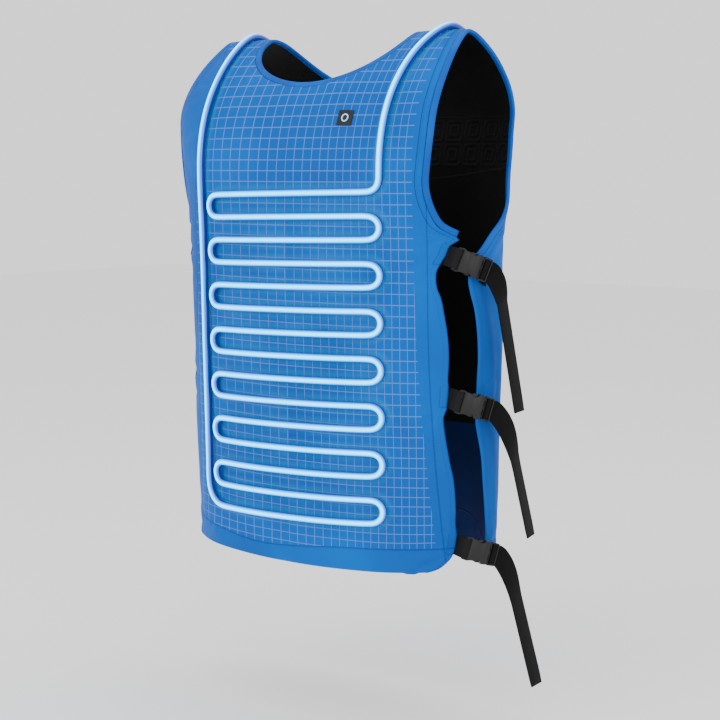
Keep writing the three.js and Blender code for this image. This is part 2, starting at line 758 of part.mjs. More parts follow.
// The back strap: sewn to the outside of the back panel, forward under the adjuster, up through its inner slot, over
// its crossbar and down through the outer one, and on under the end bar as the tail that hangs beside the body.
function tailGeometry(frame, freeLength, { lean, bend }) {
  const lift = plugThickness / 2 + webbingClearance + webbingThickness / 2;
  const top = buckleStandOff + lift;
  const bottom = buckleStandOff - lift;
  const under = bottom - webbingThickness - webbingClearance;
  const inner = anchorLength + innerSlot;
  const outer = anchorLength + outerSlot;
  const end = anchorLength + buckleEnd;
  const stations = [
    ...backStrapSeat(frame, end),
    ...pathStations(frame, [
      [end - 3, under],
      [inner + 1.4, under + 0.2],
      [inner, under + 1.8],
      [inner, top - 1.5],
      [inner + 1.2, top - 0.2],
      [outer - 1.2, top - 0.2],
      [outer, top - 1.5],
      [outer, bottom + 1.5],
      [outer + 1.2, bottom + 0.2],
      [end - 0.5, bottom],
    ]),
  ];
  // The free length leaves the adjuster askew, bends down edgewise and turns its face to the side.
  const steps = Math.ceil(freeLength / tailStep);
  const step = freeLength / steps;
  const hangFace = new THREE.Vector3(Math.cos(tailTwist * degrees), Math.sin(tailTwist * degrees), 0);
  const backward = hangFace.clone().cross(up).negate();
  const rest = up.clone().multiplyScalar(-Math.cos(lean * degrees));
  rest.addScaledVector(backward, Math.sin(lean * degrees)).addScaledVector(hangFace, tailSpread);
  const point = placeIn(frame, end + 3, bottom);
  for (let i = 0; i <= steps; i += 1) {
    const share = clamp01((i * step) / (bend * tailLength));
    const ease = mix(tailSkew, 1, 1 - (1 - share) ** 2);
    const heading = frame.along.clone().lerp(rest, ease).normalize();
    const face = frame.face.clone().lerp(hangFace, share);
    face.addScaledVector(heading, -heading.dot(face)).normalize();
    stations.push({ point: point.clone(), across: face.clone().cross(heading).normalize(), face });
    point.addScaledVector(heading, step);
  }
  return ribbon(stations);
}

// Stations of the strap's sewn end, flat on the outside of the back panel, from its far end forward.
function backStrapSeat(frame, end) {
  const seat = strapSeat + webbingThickness / 2;
  return [0.6, 0.48, 0.36, 0.24, 0.12].map((share) => {
    const wanted = placeIn(frame, end + backStrapLength * share, 0);
    const down = downAt("back", -wanted.z);
    const across = girthBeside("back", down, wanted.y);
    const { point, normal } = bodyFrame("back", down, across);
    const width = frame.across.clone().addScaledVector(normal, -frame.across.dot(normal)).normalize();
    const face = normal.clone();
    const heading = width.clone().cross(face);
    if (heading.dot(frame.along) > 0) heading.negate();
    return { point: point.addScaledVector(normal, seat), across: width, face: heading.cross(width).normalize() };
  });
}

// Girth position at which a section has gone back to a given Y.
function girthBeside(side, down, y) {
  const points = sectionLine(side, down);
  const i = points.findLastIndex((p) => p.y >= y);
  const [a, b] = [points[Math.max(i, 0)], points[Math.min(i + 1, points.length - 1)]];
  const share = clamp01((y - a.y) / (b.y - a.y || 1));
  return mix(a.length, b.length, share);
}

// Places a geometry that was made in a buckle's own frame.
function placeGeometry(geometry, frame) {
  const basis = new THREE.Matrix4().makeBasis(frame.along, frame.across, frame.face);
  basis.setPosition(placeIn(frame, anchorLength, buckleStandOff));
  return geometry.clone().applyMatrix4(basis);
}

function patchGeometry() {
  const a = patchWidth / 2;
  const b = patchHeight / 2;
  const r = patchCorner;
  const outline = new THREE.Shape();
  outline.moveTo(-a + r, -b);
  outline.lineTo(a - r, -b);
  outline.absarc(a - r, -b + r, r, -Math.PI / 2, 0);
  outline.absarc(a - r, b - r, r, 0, Math.PI / 2);
  outline.absarc(-a + r, b - r, r, Math.PI / 2, Math.PI);
  outline.absarc(-a + r, -b + r, r, Math.PI, 1.5 * Math.PI);
  return plate(outline, patchThickness, 0.5);
}

// Materials
const material = (color, roughness, metalness = 0) =>
  new THREE.MeshStandardMaterial({ color, roughness, metalness });
const shellBlue = material("#1279d8", 0.62);
const bindingBlue = material("#1f7fe0", 0.58);
const liningBlack = material("#0b0b0f", 0.75);
const tubeIce = material("#a8efff", 0.2);
const webbingBlack = material("#131314", 0.85);
const buckleBlack = material("#26262a", 0.42);
const patchBlack = material("#101012", 0.5);

const vest = new THREE.Group();
vest.name = "cooling_vest";

function addMesh(group, name, geometry, surface) {
  const mesh = new THREE.Mesh(geometry, surface);
  mesh.name = name;
  group.add(mesh);
  return mesh;
}

addMesh(vest, "front_panel", clothWall("front", 0, -shellWall), shellBlue);
addMesh(vest, "back_panel", clothWall("back", 0, -shellWall), shellBlue);
const liningFace = -shellWall - layerGap;
addMesh(vest, "front_lining", clothWall("front", liningFace, liningFace - liningWall), liningBlack);
addMesh(vest, "back_lining", clothWall("back", liningFace, liningFace - liningWall), liningBlack);
addMesh(vest, "neck_binding", binding(neckStations(), true, -1), bindingBlue);
addMesh(vest, "cooling_tube", tubeGeometry(), tubeIce);

const patch = addMesh(vest, "control_patch", patchGeometry(), patchBlack);
const patchDown = downAt("front", patchLevel);
const patchFrame = bodyFrame("front", patchDown, girthAt("front", patchDown, patchAcross));
patch.position.copy(offsetPoint(patchFrame, patchThickness / 2));
patch.quaternion.setFromUnitVectors(up, patchFrame.normal);

// Each side has an armhole binding and three straps. Both are drawn on the left, and the right ones are mirrored.
for (const [name, mirror] of [
  ["left", 1],
  ["right", -1],
]) {
  const group = new THREE.Group();
  group.scale.x = mirror;
  vest.add(group);
  addMesh(group, "arm_binding_" + name, binding(armStations(name), false, 1), bindingBlue);
  straps.forEach((strap, i) => {
    const frame = strapFrame(strap, name);
    const tag = name + "_" + (i + 1);
    const tail = name === "left" ? strap.tail * tailLength : rightTailLength;
    addMesh(group, "strap_anchor_" + tag, anchorGeometry(frame), webbingBlack);
    addMesh(group, "buckle_socket_" + tag, placeGeometry(socketGeometry(), frame), buckleBlack);
    addMesh(group, "buckle_plug_" + tag, placeGeometry(plugGeometry(), frame), buckleBlack);
    addMesh(group, "strap_tail_" + tag, tailGeometry(frame, tail, strap), webbingBlack);
  });
}

export default vest;
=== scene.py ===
# A cooling vest, dressed over its imported frame: woven shell with a printed grid, black lining, bound edges,
# an ice-blue tube with a painted glow, webbing and moulded buckles. Sizes are in millimetres, and meshes in
# metres.
import math
import bpy
import numpy as np
from mathutils import Matrix, Vector


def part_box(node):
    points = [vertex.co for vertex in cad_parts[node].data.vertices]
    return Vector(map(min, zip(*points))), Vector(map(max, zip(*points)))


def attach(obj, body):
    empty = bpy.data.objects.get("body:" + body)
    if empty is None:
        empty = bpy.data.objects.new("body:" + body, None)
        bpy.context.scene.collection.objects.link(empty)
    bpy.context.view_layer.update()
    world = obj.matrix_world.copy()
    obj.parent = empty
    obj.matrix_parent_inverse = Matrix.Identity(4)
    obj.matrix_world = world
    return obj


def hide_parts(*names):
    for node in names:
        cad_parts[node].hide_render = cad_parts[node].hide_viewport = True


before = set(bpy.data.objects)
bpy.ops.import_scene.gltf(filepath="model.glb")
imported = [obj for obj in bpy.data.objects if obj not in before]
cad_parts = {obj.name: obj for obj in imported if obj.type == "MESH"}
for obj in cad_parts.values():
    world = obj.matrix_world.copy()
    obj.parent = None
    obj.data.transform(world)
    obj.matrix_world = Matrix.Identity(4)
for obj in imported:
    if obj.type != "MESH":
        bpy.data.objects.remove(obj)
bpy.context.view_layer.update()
MM = 0.001


# Sizes from the frame
hem_dip = 8.0
panel_low = np.array(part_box("front_panel")[0]) / MM
body_length = -panel_low[2] - hem_dip
front_depth = -panel_low[1]
back_depth = 85.0
half_width = 220.0

# Cloth
shell_wall = 1.7
lining_wall = 1.1
layer_gap = 0.3
binding_width = 7.5
neck_half_width = 119.0
neck_squareness = 1.9
shoulder_half_width = 178.0
corner_radius = 30.0
right_turn = 40.0
turn_level = 110.0

# Each side's armpit level, how far its side edge stops short of the widest line, and its dome and armhole
SIDES = {
    "front": dict(armpit=253.0, neck_drop=66.0, short=64.0, sweep=2.3, dome=180.0, fullness=1.45,
                  depth=-front_depth,
                  arm=[(0.0, 1.0), (0.15, 1.03), (0.36, 1.04), (0.52, 1.035), (0.7, 1.01)]),
    "back": dict(armpit=276.0, neck_drop=76.0, short=-22.0, sweep=1.4, dome=125.0, fullness=1.8,
                 depth=back_depth, arm=[(0.0, 1.0), (0.14, 1.06), (0.26, 1.1), (0.4, 1.11)]),
}
OTHER = {"front": "back", "back": "front"}
# How far each side edge lies outside its plain line, by level, where the straps draw it and between them
EDGE_DRAW = {
    "front": np.array([[227, 0], [232, 2.2], [238, 9], [243, 16], [246, 13], [250, 1], [254, -4], [262, -7],
                       [271, -12.5], [281, -18], [298, -17.5], [313, -12], [333, -8], [358, -4], [383, -2.5],
                       [407, -2.8], [418, -1.6], [441, -3], [451, -6.5], [475, -3.4], [503, 2.3], [527, 8],
                       [559, 11.6], [579, 12.3], [594, 14], [640, 10]], float),
    "back": np.array([[110, 0], [130, -2], [150, -7], [170, -14], [185, -18], [200, -18], [215, -14],
                      [230, -8], [243, 0], [262, 7], [276, 15], [288, 20.5], [305, 18], [326, 11], [353, 6],
                      [385, 4], [415, 5.7], [457, 7.4], [472, 4.3], [501, -3.3], [532, -8.6], [578, -17],
                      [640, -21]], float),
}

# Control patch: its place on the front and how far its face stands out
PATCH_LEVEL = 104.2
PATCH_ACROSS = 78.2
PATCH_LIFT = 2.4

# Sections of the body: level as a share of the length, shares of the width and depths, and squareness
LEVELS = np.array([0.0, 0.05, 0.14, 0.2, 0.27, 0.4, 0.6, 0.8, 1.0])
SHARES = dict(
    width=np.array([0.94, 1.02, 1.08, 1.07, 1.05, 1.01, 1.01, 1.0, 0.98]),
    front=np.array([1.0, 1.0, 1.0, 1.0, 1.0, 1.0, 0.98, 0.96, 0.95]),
    back=np.array([1.08, 1.14, 1.16, 1.08, 1.01, 0.97, 0.97, 0.96, 0.94]),
    square=np.array([3.0, 3.2, 3.2, 3.0, 2.8, 2.6, 2.5, 2.4, 2.4]),
)

# Tube
tube_radius = 4.5
tube_clearance = 0.9
run_count = 15
first_run = 192.0
run_pitch = 27.6
run_climb = 6.0
left_reach = 134.0
right_reach = 127.0
riser_offset = 17.0
left_crossing = 160.0
right_crossing = 145.0
back_loop_level = 330.0
back_loop_radius = 45.0

# Straps: level, fall towards the back, the left free end's length, and how that end hangs
STRAP_COLUMNS = ("level", "fall", "tail", "lean", "bend", "spread", "twist", "skew")
STRAPS = [dict(zip(STRAP_COLUMNS, row)) for row in (
    (0.413 * body_length, 21.0, 174.0, 13.0, 40.0, 0.06, 5.0, 0.62),
    (0.675 * body_length, 16.0, 172.0, 18.0, 70.0, 0.09, 12.0, 0.55),
    (0.951 * body_length, 16.0, 183.0, 18.0, 60.0, 0.07, 2.0, 0.62),
)]
right_tail = 40.0
back_strap_length = 34.0
strap_seat = 1.3
webbing_width = 24.0
webbing_thickness = 1.4
anchor_length = 6.0
anchor_gap = 0.9
socket_length = 32.0
socket_thickness = 10.0
adjuster_length = 11.0
plug_thickness = 4.6
buckle_wall = 2.3
bar_width = 3.0
slot_width = 3.4
buckle_clearance = 0.5
webbing_clearance = 0.4
stand_off = 9.5
# The frame's shell and lining with the gap between them
frame_cloth = 2.0 + 0.3 + 1.2
buckle_width = webbing_width + 2 * buckle_wall
plug_start = socket_length + buckle_clearance
buckle_end = plug_start + adjuster_length
inner_slot = plug_start + 1.2 + slot_width / 2
outer_slot = buckle_end - 1.6 - slot_width / 2


def smooth_table(levels, values, x):
    """Smooth value of a table's column at x, rising or falling evenly between its rows."""
    slopes = np.gradient(values, levels)
    slopes[1:-1] = (values[2:] - values[:-2]) / (levels[2:] - levels[:-2])
    i = int(np.clip(np.searchsorted(levels, x, side="left") - 1, 0, len(levels) - 2))
    span = levels[i + 1] - levels[i]
    s = min(1.0, max(0.0, (x - levels[i]) / span))
    return (
        (2 * s**3 - 3 * s**2 + 1) * values[i]
        + (s**3 - 2 * s**2 + s) * span * slopes[i]
        + (3 * s**2 - 2 * s**3) * values[i + 1]
        + (s**3 - s**2) * span * slopes[i + 1]
    )


def level_at(side, down):
    dome, fullness = SIDES[side]["dome"], SIDES[side]["fullness"]
    run = dome * fullness
    return dome * (down / run) ** fullness if down < run else dome + down - run


def down_at(side, level):
    dome, fullness = SIDES[side]["dome"], SIDES[side]["fullness"]
    run = dome * fullness
    return run * (level / dome) ** (1 / fullness) if level < dome else run + level - dome


def dome_share(side, down):
    run = SIDES[side]["dome"] * SIDES[side]["fullness"]
    return math.sin(min(1.0, down / run) * math.pi / 2)


SECTION_STEPS = 360
SECTION_EXTRA = 150
section_cache = {}


def section(side, down):
    """A horizontal section's points and running length, from a face's centre line past the widest line."""
    key = (side, round(down, 4))
    if key in section_cache:
        return section_cache[key]
    level = level_at(side, down)
    share = level / body_length
    width = smooth_table(LEVELS, SHARES["width"], share) * half_width
    square = smooth_table(LEVELS, SHARES["square"], share)
    turn = np.arange(SECTION_STEPS + SECTION_EXTRA + 1) / SECTION_STEPS * math.pi / 2
    reach = {
        s: SIDES[s]["depth"] * smooth_table(LEVELS, SHARES[s], share) * dome_share(s, down_at(s, level))
        for s in ("front", "back")
    }
    depth = np.where(np.arange(len(turn)) <= SECTION_STEPS, reach[side], reach[OTHER[side]])
    x = width * np.abs(np.sin(turn)) ** (2 / square)
    y = depth * np.abs(np.cos(turn)) ** (2 / square)
    length = np.concatenate([[0], np.cumsum(np.hypot(np.diff(x), np.diff(y)))])
    section_cache[key] = (x, y, length)
    return section_cache[key]


def girth_length(side, down):
    return section(side, down)[2][SECTION_STEPS]


def girth_at(side, down, reach):
    x, _, length = section(side, down)
    return float(np.interp(reach, x[: SECTION_STEPS + 1], length[: SECTION_STEPS + 1]))


def body_points(side, down, across):
    """Points of the vest's outer face at one height, for an array of girth positions."""
    down = max(down, 0.0)
    x, y, length = section(side, down)
    across = np.asarray(across, float)
    at_x = np.interp(np.abs(across), length, x)
    at_y = np.interp(np.abs(across), length, y)
    level = level_at(side, down)
    dip = hem_dip * (level / body_length) ** 3 * (1 - (at_x / half_width) ** 2)
    return np.stack([np.sign(across) * at_x, at_y, -level - dip], axis=-1)


def body_frame(side, down, across):
    """One point of the outer face with its outward normal."""
    step = 1.5
    over = body_points(side, down, [across + step])[0] - body_points(side, down, [across - step])[0]
    along = body_points(side, down + step, [across])[0] - body_points(side, down - step, [across])[0]
    normal = np.cross(along, over)
    normal /= np.linalg.norm(normal)
    if side == "back":
        normal = -normal
    return body_points(side, down, [across])[0], normal


def edge_draw(side, level):
    rows = EDGE_DRAW[side]
    return smooth_table(rows[:, 0], rows[:, 1], level) if level > rows[0, 0] else 0.0


def edge_across(side, down, hand=1):
    """Girth position of a panel's armhole and, below the armpit, of its side edge. Hand -1 is the right."""
    s = SIDES[side]
    level = level_at(side, down)
    draw = edge_draw(side, level)
    ease = min(1.0, level / turn_level)
    shift = 0.0 if hand > 0 else right_turn * ease**2 * (3 - 2 * ease) * (1 if side == "front" else -1)
    side_edge = girth_length(side, down) - s["short"] + shift
    if level < s["armpit"]:
        share = level / s["armpit"]
        rows = np.array(s["arm"])
        turn = rows[-1, 0]
        reach = smooth_table(rows[:, 0], rows[:, 1], min(share, turn)) * shoulder_half_width
        straight = girth_at(side, down, reach) + shift
        if share < turn:
            return straight
        return straight + (side_edge - straight) * ((share - turn) / (1 - turn)) ** s["sweep"] + draw
    low = level - (body_length - corner_radius)
    if low > 0:
        return side_edge + draw - corner_radius + math.sqrt(max(0.0, corner_radius**2 - low**2))
    return side_edge + draw


# Rows and columns of the cloth
ROW_PITCH = 3.4
HALF_COLUMNS = 72
EDGE_ROLL = 3.0
SEAM_GAP = 0.15
NECK_ROWS = 34
CORNER_ROWS = 12
CALM_LEVEL = 60.0


def panel_rows(side):
    """Heights down the pattern with the neck edge's girth position in each."""
    s = SIDES[side]
    seam = s["dome"] * s["fullness"] * 2 * SEAM_GAP / (math.pi * abs(s["depth"]))
    rows = []
    for share in np.linspace(0, 1, NECK_ROWS):
        turn = share * math.pi / 2
        level = s["neck_drop"] * math.sin(turn) ** (2 / neck_squareness)
        down = max(seam, down_at(side, level))
        reach = neck_half_width * max(0.0, math.cos(turn)) ** (2 / neck_squareness)
        rows.append((down, 0.0 if share == 1 else girth_at(side, down, reach)))
    start = down_at(side, s["neck_drop"])
    end = down_at(side, body_length)
    straight_end = down_at(side, body_length - corner_radius)
    for down in np.linspace(start, straight_end, int((straight_end - start) / ROW_PITCH))[1:]:
        rows.append((down, 0.0))
    for turn in np.linspace(0, math.pi / 2, CORNER_ROWS)[1:]:
        rows.append((straight_end + (end - straight_end) * math.sin(turn), 0.0))
    return rows


def bump(x, width):
    return np.exp(-((x / width) ** 2))


def creases(side, level, across, edge):
    """Soft folds of the cloth, in millimetres outward."""
    inward = edge - np.abs(across)
    hand = np.where(across < 0, 2.1, 0.0)
    out = 0.9 * np.sin(across / 41.0 + level / 95.0 + hand) * np.sin(level / 57.0 + across / 160.0)
    out += 0.45 * np.sin(across / 17.0 - level / 33.0 + 2 * hand)
    for k, strap in enumerate(STRAPS):
        rise = level - strap["level"]
        spread = np.hypot(rise, inward)
        angle = np.arctan2(rise, inward + 4)
        rays = np.cos(angle * 9.0 + k * 1.7 + hand)
        out += (2.0 if side == "front" else 0.7) * bump(spread, 42) * rays * np.clip((spread - 15) / 14, 0, 1)
    # Puckers along the seam beside each side edge, and along the hem
    inset = seam_inset(side, level, across)
    out += 0.5 * bump(inset, 7) * np.sin(level / 2.4 + np.sin(level / 19.0) * 2)
    out -= 0.4 * bump(inset, 2.4)
    rise = body_length - level - hem_seam(across)
    out += 0.55 * bump(rise, 6) * np.sin(across / 2.9 + np.sin(across / 23.0) * 2)
    out -= 0.5 * bump(rise, 2.2)
    if side == "back":
        out += 2.2 * bump(inward - 22 - 6 * np.sin(level / 60.0), 8) * bump(level - 400, 130)
        out -= 1.6 * bump(inward - 34 - 5 * np.sin(level / 47.0), 7) * bump(level - 380, 150)
    return out


# The printed area's far limit on the right, as the height and the girth position of its seam
CAP_SEAM = np.array([[0, -186], [40, -176], [80, -162], [108, -150], [132, -142], [167, -141], [190, -145],
                     [212, -152], [246, -162], [321, -176], [420, -181], [600, -186], [760, -190]])


def hem_seam(across):
    """How far above the hem its seam lies."""
    return 28.0 - 10.0 * bump(across + 50, 95)


def near_limit(down):
    """Girth position where the print ends on the left."""
    return 171.5 + 1.75 * (np.maximum(0.0, down - 321) / 100) ** 2


def seam_inset(side, level, across):
    """Distance inward from the stitched seam that runs beside a side edge."""
    if side == "back":
        return np.full_like(across, 99.0)
    line = 187.0 + 2.2 * (max(0.0, level - 330) / 100) ** 2
    return np.where(across < 0, line + right_turn, line) - np.abs(across)


def print_inset(level, down, across, inward):
    """How far inside the printed area a point of the front lies."""
    far = np.interp(down, CAP_SEAM[:, 0], CAP_SEAM[:, 1])
    arm = np.where(across > 0, inward - (9.0 if level > 60 else 2.0 + 7.0 * level / 60), 99.0)
    hem = body_length - level - hem_seam(across) - 0.5
    return np.minimum.reduce([near_limit(down) - across, across - far - 2.0, arm, hem])


# What each point of the cloth carries for its material, in metres
POINT_VALUES = ("side_seam", "hem_seam", "level", "print_inset", "cap_seam", "edge_inset")


def cloth_grid(side, depth, shrink=0.0):
    """A panel's two halves as grids of points: columns run from the neck or centre line to the edge."""
    shares = 1 - (1 - np.linspace(0, 1, HALF_COLUMNS + 1)) ** 1.12
    half = []
    for sign in (1, -1):
        rows, maps, out, extra = [], [], [], []
        for down, neck in panel_rows(side):
            level = level_at(side, down)
            edge = edge_across(side, down, sign)
            across = sign * (neck + (edge - shrink - neck) * shares)
            inward = edge - np.abs(across)
            fold = creases(side, level, across, edge) * np.clip(level / CALM_LEVEL, 0, 1)
            # The turned edge below the armpit
            if level > SIDES[side]["armpit"] - 4:
                roll = np.clip(1 - inward / EDGE_ROLL, 0, 1)
                fold -= 1.6 * (1 - np.sqrt(1 - roll**2))
            rows.append(body_points(side, down, across))
            maps.append(np.stack([across, np.full_like(across, down)], axis=-1))
            out.append(fold)
            extra.append(np.stack([
                seam_inset(side, level, across),
                body_length - level - hem_seam(across),
                np.full_like(across, level),
                print_inset(level, down, across, inward),
                across - np.interp(down, CAP_SEAM[:, 0], CAP_SEAM[:, 1]),
                inward,
            ], axis=-1))
        rows, maps, out, extra = (np.array(v) for v in (rows, maps, out, extra))
        normal = unit(np.cross(np.gradient(rows, axis=0), np.gradient(rows, axis=1)) * sign)
        if side == "back":
            normal = -normal
        normal[0, :, 1] = 0
        half.append((rows + unit(normal) * (out[..., None] - depth), maps, extra))
    return half


def active(piece):
    bpy.ops.object.select_all(action="DESELECT")
    piece.select_set(True)
    bpy.context.view_layer.objects.active = piece


def edit_all(piece, operator, **settings):
    """Runs an operator on all of a piece in edit mode."""
    active(piece)
    bpy.ops.object.mode_set(mode="EDIT")
    bpy.ops.mesh.select_all(action="SELECT")
    operator(**settings)
    bpy.ops.object.mode_set(mode="OBJECT")


def outward_faces(piece):
    edit_all(piece, bpy.ops.mesh.normals_make_consistent, inside=False)


def new_piece(name, verts, faces, uvs=None, attributes=None, corner_uvs=None):
    """A mesh object from points in millimetres, with a pattern map and values carried by its points."""
    data = bpy.data.meshes.new(name)
    data.from_pydata([tuple(v) for v in np.asarray(verts) * MM], [], faces)
    data.update()
    for key, values in (attributes or {}).items():
        carried = data.attributes.new(key, "FLOAT", "POINT").data
        carried.foreach_set("value", np.asarray(values, dtype=np.float32))
    if uvs is not None:
        corners = np.empty(len(data.loops), dtype=np.int32)
        data.loops.foreach_get("vertex_index", corners)
        corner_uvs = np.asarray(uvs)[corners]
    layer = data.uv_layers.new(name="pattern")
    layer.data.foreach_set("uv", (np.asarray(corner_uvs) * MM).astype(np.float32).ravel())
    piece = bpy.data.objects.new(name, data)
    bpy.context.collection.objects.link(piece)
    return piece


def dress(piece, material, slot, *nodes):
    """Gives a piece its material, smooth faces and body, and hides the frame's nodes that it stands for; the
    slot is not used.
    """
    piece.data.materials.clear()
    piece.data.materials.append(material)
    for polygon in piece.data.polygons:
        polygon.use_smooth = True
    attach(piece, "root")
    if nodes:
        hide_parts(*nodes)


def apply_modifier(piece, kind, **settings):
    active(piece)
    modifier = piece.modifiers.new(kind.lower(), kind)
    for key, value in settings.items():
        setattr(modifier, key, value)
    bpy.ops.object.modifier_apply(modifier=modifier.name)


def quads(rows, columns, flip, start=0):
    faces = []
    for i in range(rows - 1):
        for j in range(columns - 1):
            a = start + i * columns + j
            ring = (a, a + columns, a + columns + 1, a + 1)
            faces.append(ring[::-1] if flip else ring)
    return faces


def cloth_piece(name, side, depth, wall, near=None, **grid):
    """One panel of cloth with its wall, and the area of its outer face in square metres."""
    verts, uvs, extras, faces = [], [], [], []
    for k, (rows, maps, extra) in enumerate(cloth_grid(side, depth, **grid)):
        flip = (k == 1) != (side == "back")
        faces += quads(rows.shape[0], rows.shape[1], flip, sum(len(v) for v in verts))
        verts.append(rows.reshape(-1, 3))
        uvs.append(maps.reshape(-1, 2))
        extras.append(extra.reshape(-1, len(POINT_VALUES)))
    verts, uvs, extras = np.concatenate(verts), np.concatenate(uvs), np.concatenate(extras)
    values = {key: extras[:, k] * MM for k, key in enumerate(POINT_VALUES)}
    if near is not None:
        values["tube_near"] = near(verts) * MM
    piece = new_piece(name, verts, faces, uvs, values)
    edit_all(piece, bpy.ops.mesh.remove_doubles, threshold=0.01 * MM)
    area = sum(p.area for p in piece.data.polygons)
    apply_modifier(piece, "SOLIDIFY", thickness=wall * MM, offset=-1.0, use_even_offset=False)
    return piece, area


def tube_route():
    """The tube's centre line as positions on the front or back face, closed into one loop."""
    route = []
    radius = run_pitch / 2
    start = {1: left_reach - radius, -1: right_reach - radius}

    def add(side, level, across):
        climb = run_climb * across / (left_reach + right_reach) if side == "front" else 0.0
        route.append((side, down_at(side, level - climb), across))

    head = down_at("front", first_run - radius)
    for share in np.arange(36) / 36:
        across = left_crossing + (left_reach - left_crossing) * (1 - (1 - share) ** 3)
        route.append(("front", max(head * share, 0.01), across))
    for turn in np.linspace(0, math.pi / 2, 9):
        add("front", first_run - radius * (1 - math.sin(turn)), start[1] + radius * math.cos(turn))
    for run in range(run_count):
        level = first_run + run * run_pitch
        heading = -1 if run % 2 == 0 else 1
        for share in np.linspace(0, 1, 32)[1:-1]:
            across = (1 - share) * -heading * start[-heading] + share * heading * start[heading]
            add("front", level, across)
        if run < run_count - 1:
            for turn in np.linspace(0, math.pi, 15):
                out = start[heading] + radius * math.sin(turn)
                add("front", level + radius * (1 - math.cos(turn)), heading * out)
    last = first_run + (run_count - 1) * run_pitch
    riser = right_reach + riser_offset
    corner = run_pitch / 2 + riser_offset
    for turn in np.linspace(0, math.pi / 2, 12):
        add("front", last - corner * (1 - math.cos(turn)), -(riser - corner + corner * math.sin(turn)))
    foot, top = down_at("front", last - corner), down_at("front", first_run)
    for share in np.arange(1, 50) / 50:
        route.append(("front", foot + (top - foot) * share, -riser))
    for share in np.arange(0, 36) / 36:
        route.append(("front", top * (1 - share), -(riser + (right_crossing - riser) * share)))
    foot = down_at("back", back_loop_level - back_loop_radius)
    for share in np.arange(0, 44) / 44:
        route.append(("back", max(foot * share, 0.01), -right_crossing))
    turns = np.linspace(0, math.pi / 2, 12)
    for sign, crossing, order in ((-1, right_crossing, turns), (1, left_crossing, turns[::-1])):
        for turn in order:
            level = back_loop_level - back_loop_radius * (1 - math.sin(turn))
            across = crossing - back_loop_radius + back_loop_radius * math.cos(turn)
            add("back", level, sign * across)
        if sign < 0:
            ends = right_crossing - back_loop_radius, left_crossing - back_loop_radius
            for share in np.linspace(0, 1, 28)[1:-1]:
                add("back", back_loop_level, -ends[0] + (ends[0] + ends[1]) * share)
    for share in np.arange(1, 44) / 44:
        route.append(("back", foot * (1 - share), left_crossing))
    return route


def tube_stations():
    points, normals = split([body_frame(*place) for place in tube_route()])
    points = points + normals * (tube_radius + tube_clearance)
    keep = [0]
    for i in range(1, len(points)):
        if np.linalg.norm(points[i] - points[keep[-1]]) > 1.5:
            keep.append(i)
    points, normals = points[keep], normals[keep]
    for _ in range(2):
        points = 0.5 * points + 0.25 * (np.roll(points, 1, 0) + np.roll(points, -1, 0))
    return points, normals


def unit(v):
    return v / (np.linalg.norm(v, axis=-1, keepdims=True) + 1e-12)


def run_lengths(points):
    """Length of the line up to each of its points."""
    return np.concatenate([[0], np.cumsum(np.linalg.norm(np.diff(points, axis=0), axis=1))])


def loft(name, points, off, rise, outline, looped, around, caps=True):
    """A closed body with an outline at each station; its map is the way round it and the way along it."""
    sideways, upward = outline[None, :, 0, None], outline[None, :, 1, None]
    rings = points[:, None] + off[:, None] * sideways + rise[:, None] * upward
    count, size = rings.shape[:2]
    gone = run_lengths(np.vstack([points, points[:1]]))
    faces, corners = [], []
    for i in range(count if looped else count - 1):
        a, b = i * size, ((i + 1) % count) * size
        for k in range(size):
            m = (k + 1) % size
            faces.append((a + k, a + m, b + m, b + k))
            corners += [(around[k], gone[i]), (around[k + 1], gone[i])]
            corners += [(around[k + 1], gone[i + 1]), (around[k], gone[i + 1])]
    if not looped:
        faces.append(tuple(range(size))[::-1])
        faces.append(tuple((count - 1) * size + k for k in range(size)))
        for k in list(range(size))[::-1]:
            corners.append((around[k], gone[0]) if caps else (0.0, 0.0))
        for k in range(size):
            corners.append((around[k], gone[count - 1]) if caps else (0.0, 0.0))
    piece = new_piece(name, rings.reshape(-1, 3), faces, corner_uvs=corners)
    outward_faces(piece)
    return piece


def sweep(name, points, normals, outline, looped, turn=1.0, around=None):
    """A body swept along stations; its outline is given by distances to the side and along the normal."""
    along = np.roll(points, -1, 0) - np.roll(points, 1, 0) if looped else np.gradient(points, axis=0)
    along = unit(along)
    off = unit(np.cross(along, normals)) * turn
    rise = unit(np.cross(off, along)) * turn
    if around is None:
        around = run_lengths(np.vstack([outline, outline[:1]]))
    return loft(name, points, off, rise, outline, looped, around, caps=False)


def ring_outline(radius, sides):
    turn = np.arange(sides) / sides * 2 * math.pi
    return np.stack([radius * np.cos(turn), radius * np.sin(turn)], axis=-1)


def rounded_outline(left, right, bottom, top, radius, steps=3):
    """A rounded rectangle's points, anticlockwise from its lower right corner."""
    corners = [(right - radius, bottom + radius, -90), (right - radius, top - radius, 0),
               (left + radius, top - radius, 90), (left + radius, bottom + radius, 180)]
    points = []
    for x, y, first in corners:
        for k in range(steps + 1):
            turn = math.radians(first + 90 * k / steps)
            points.append((x + radius * math.cos(turn), y + radius * math.sin(turn)))
    return np.array(points)


# Bindings
cloth_thickness = shell_wall + layer_gap + lining_wall
BINDING_OUTLINE = rounded_outline(0.1, binding_width + 0.3, -cloth_thickness - 0.6, 0.6, 1.6, 4)
BINDING_STEP = 3.5
# The level at which each side's armhole binding ends
BINDING_END = {"front": 244.5, "back": 277.0}


def edge_frames(side, which, hand=1):
    frames = []
    for down, neck in panel_rows(side):
        if which == "neck" and neck == 0.0:
            frames.append(body_frame(side, down, 0.0))
            break
        if which == "arm" and level_at(side, down) > BINDING_END[side]:
            break
        across = neck if which == "neck" else edge_across(side, down, hand)
        frames.append(body_frame(side, down, across))
    return frames


def flipped(frames):
    return [(p * [-1, 1, 1], n * [-1, 1, 1]) for p, n in frames]


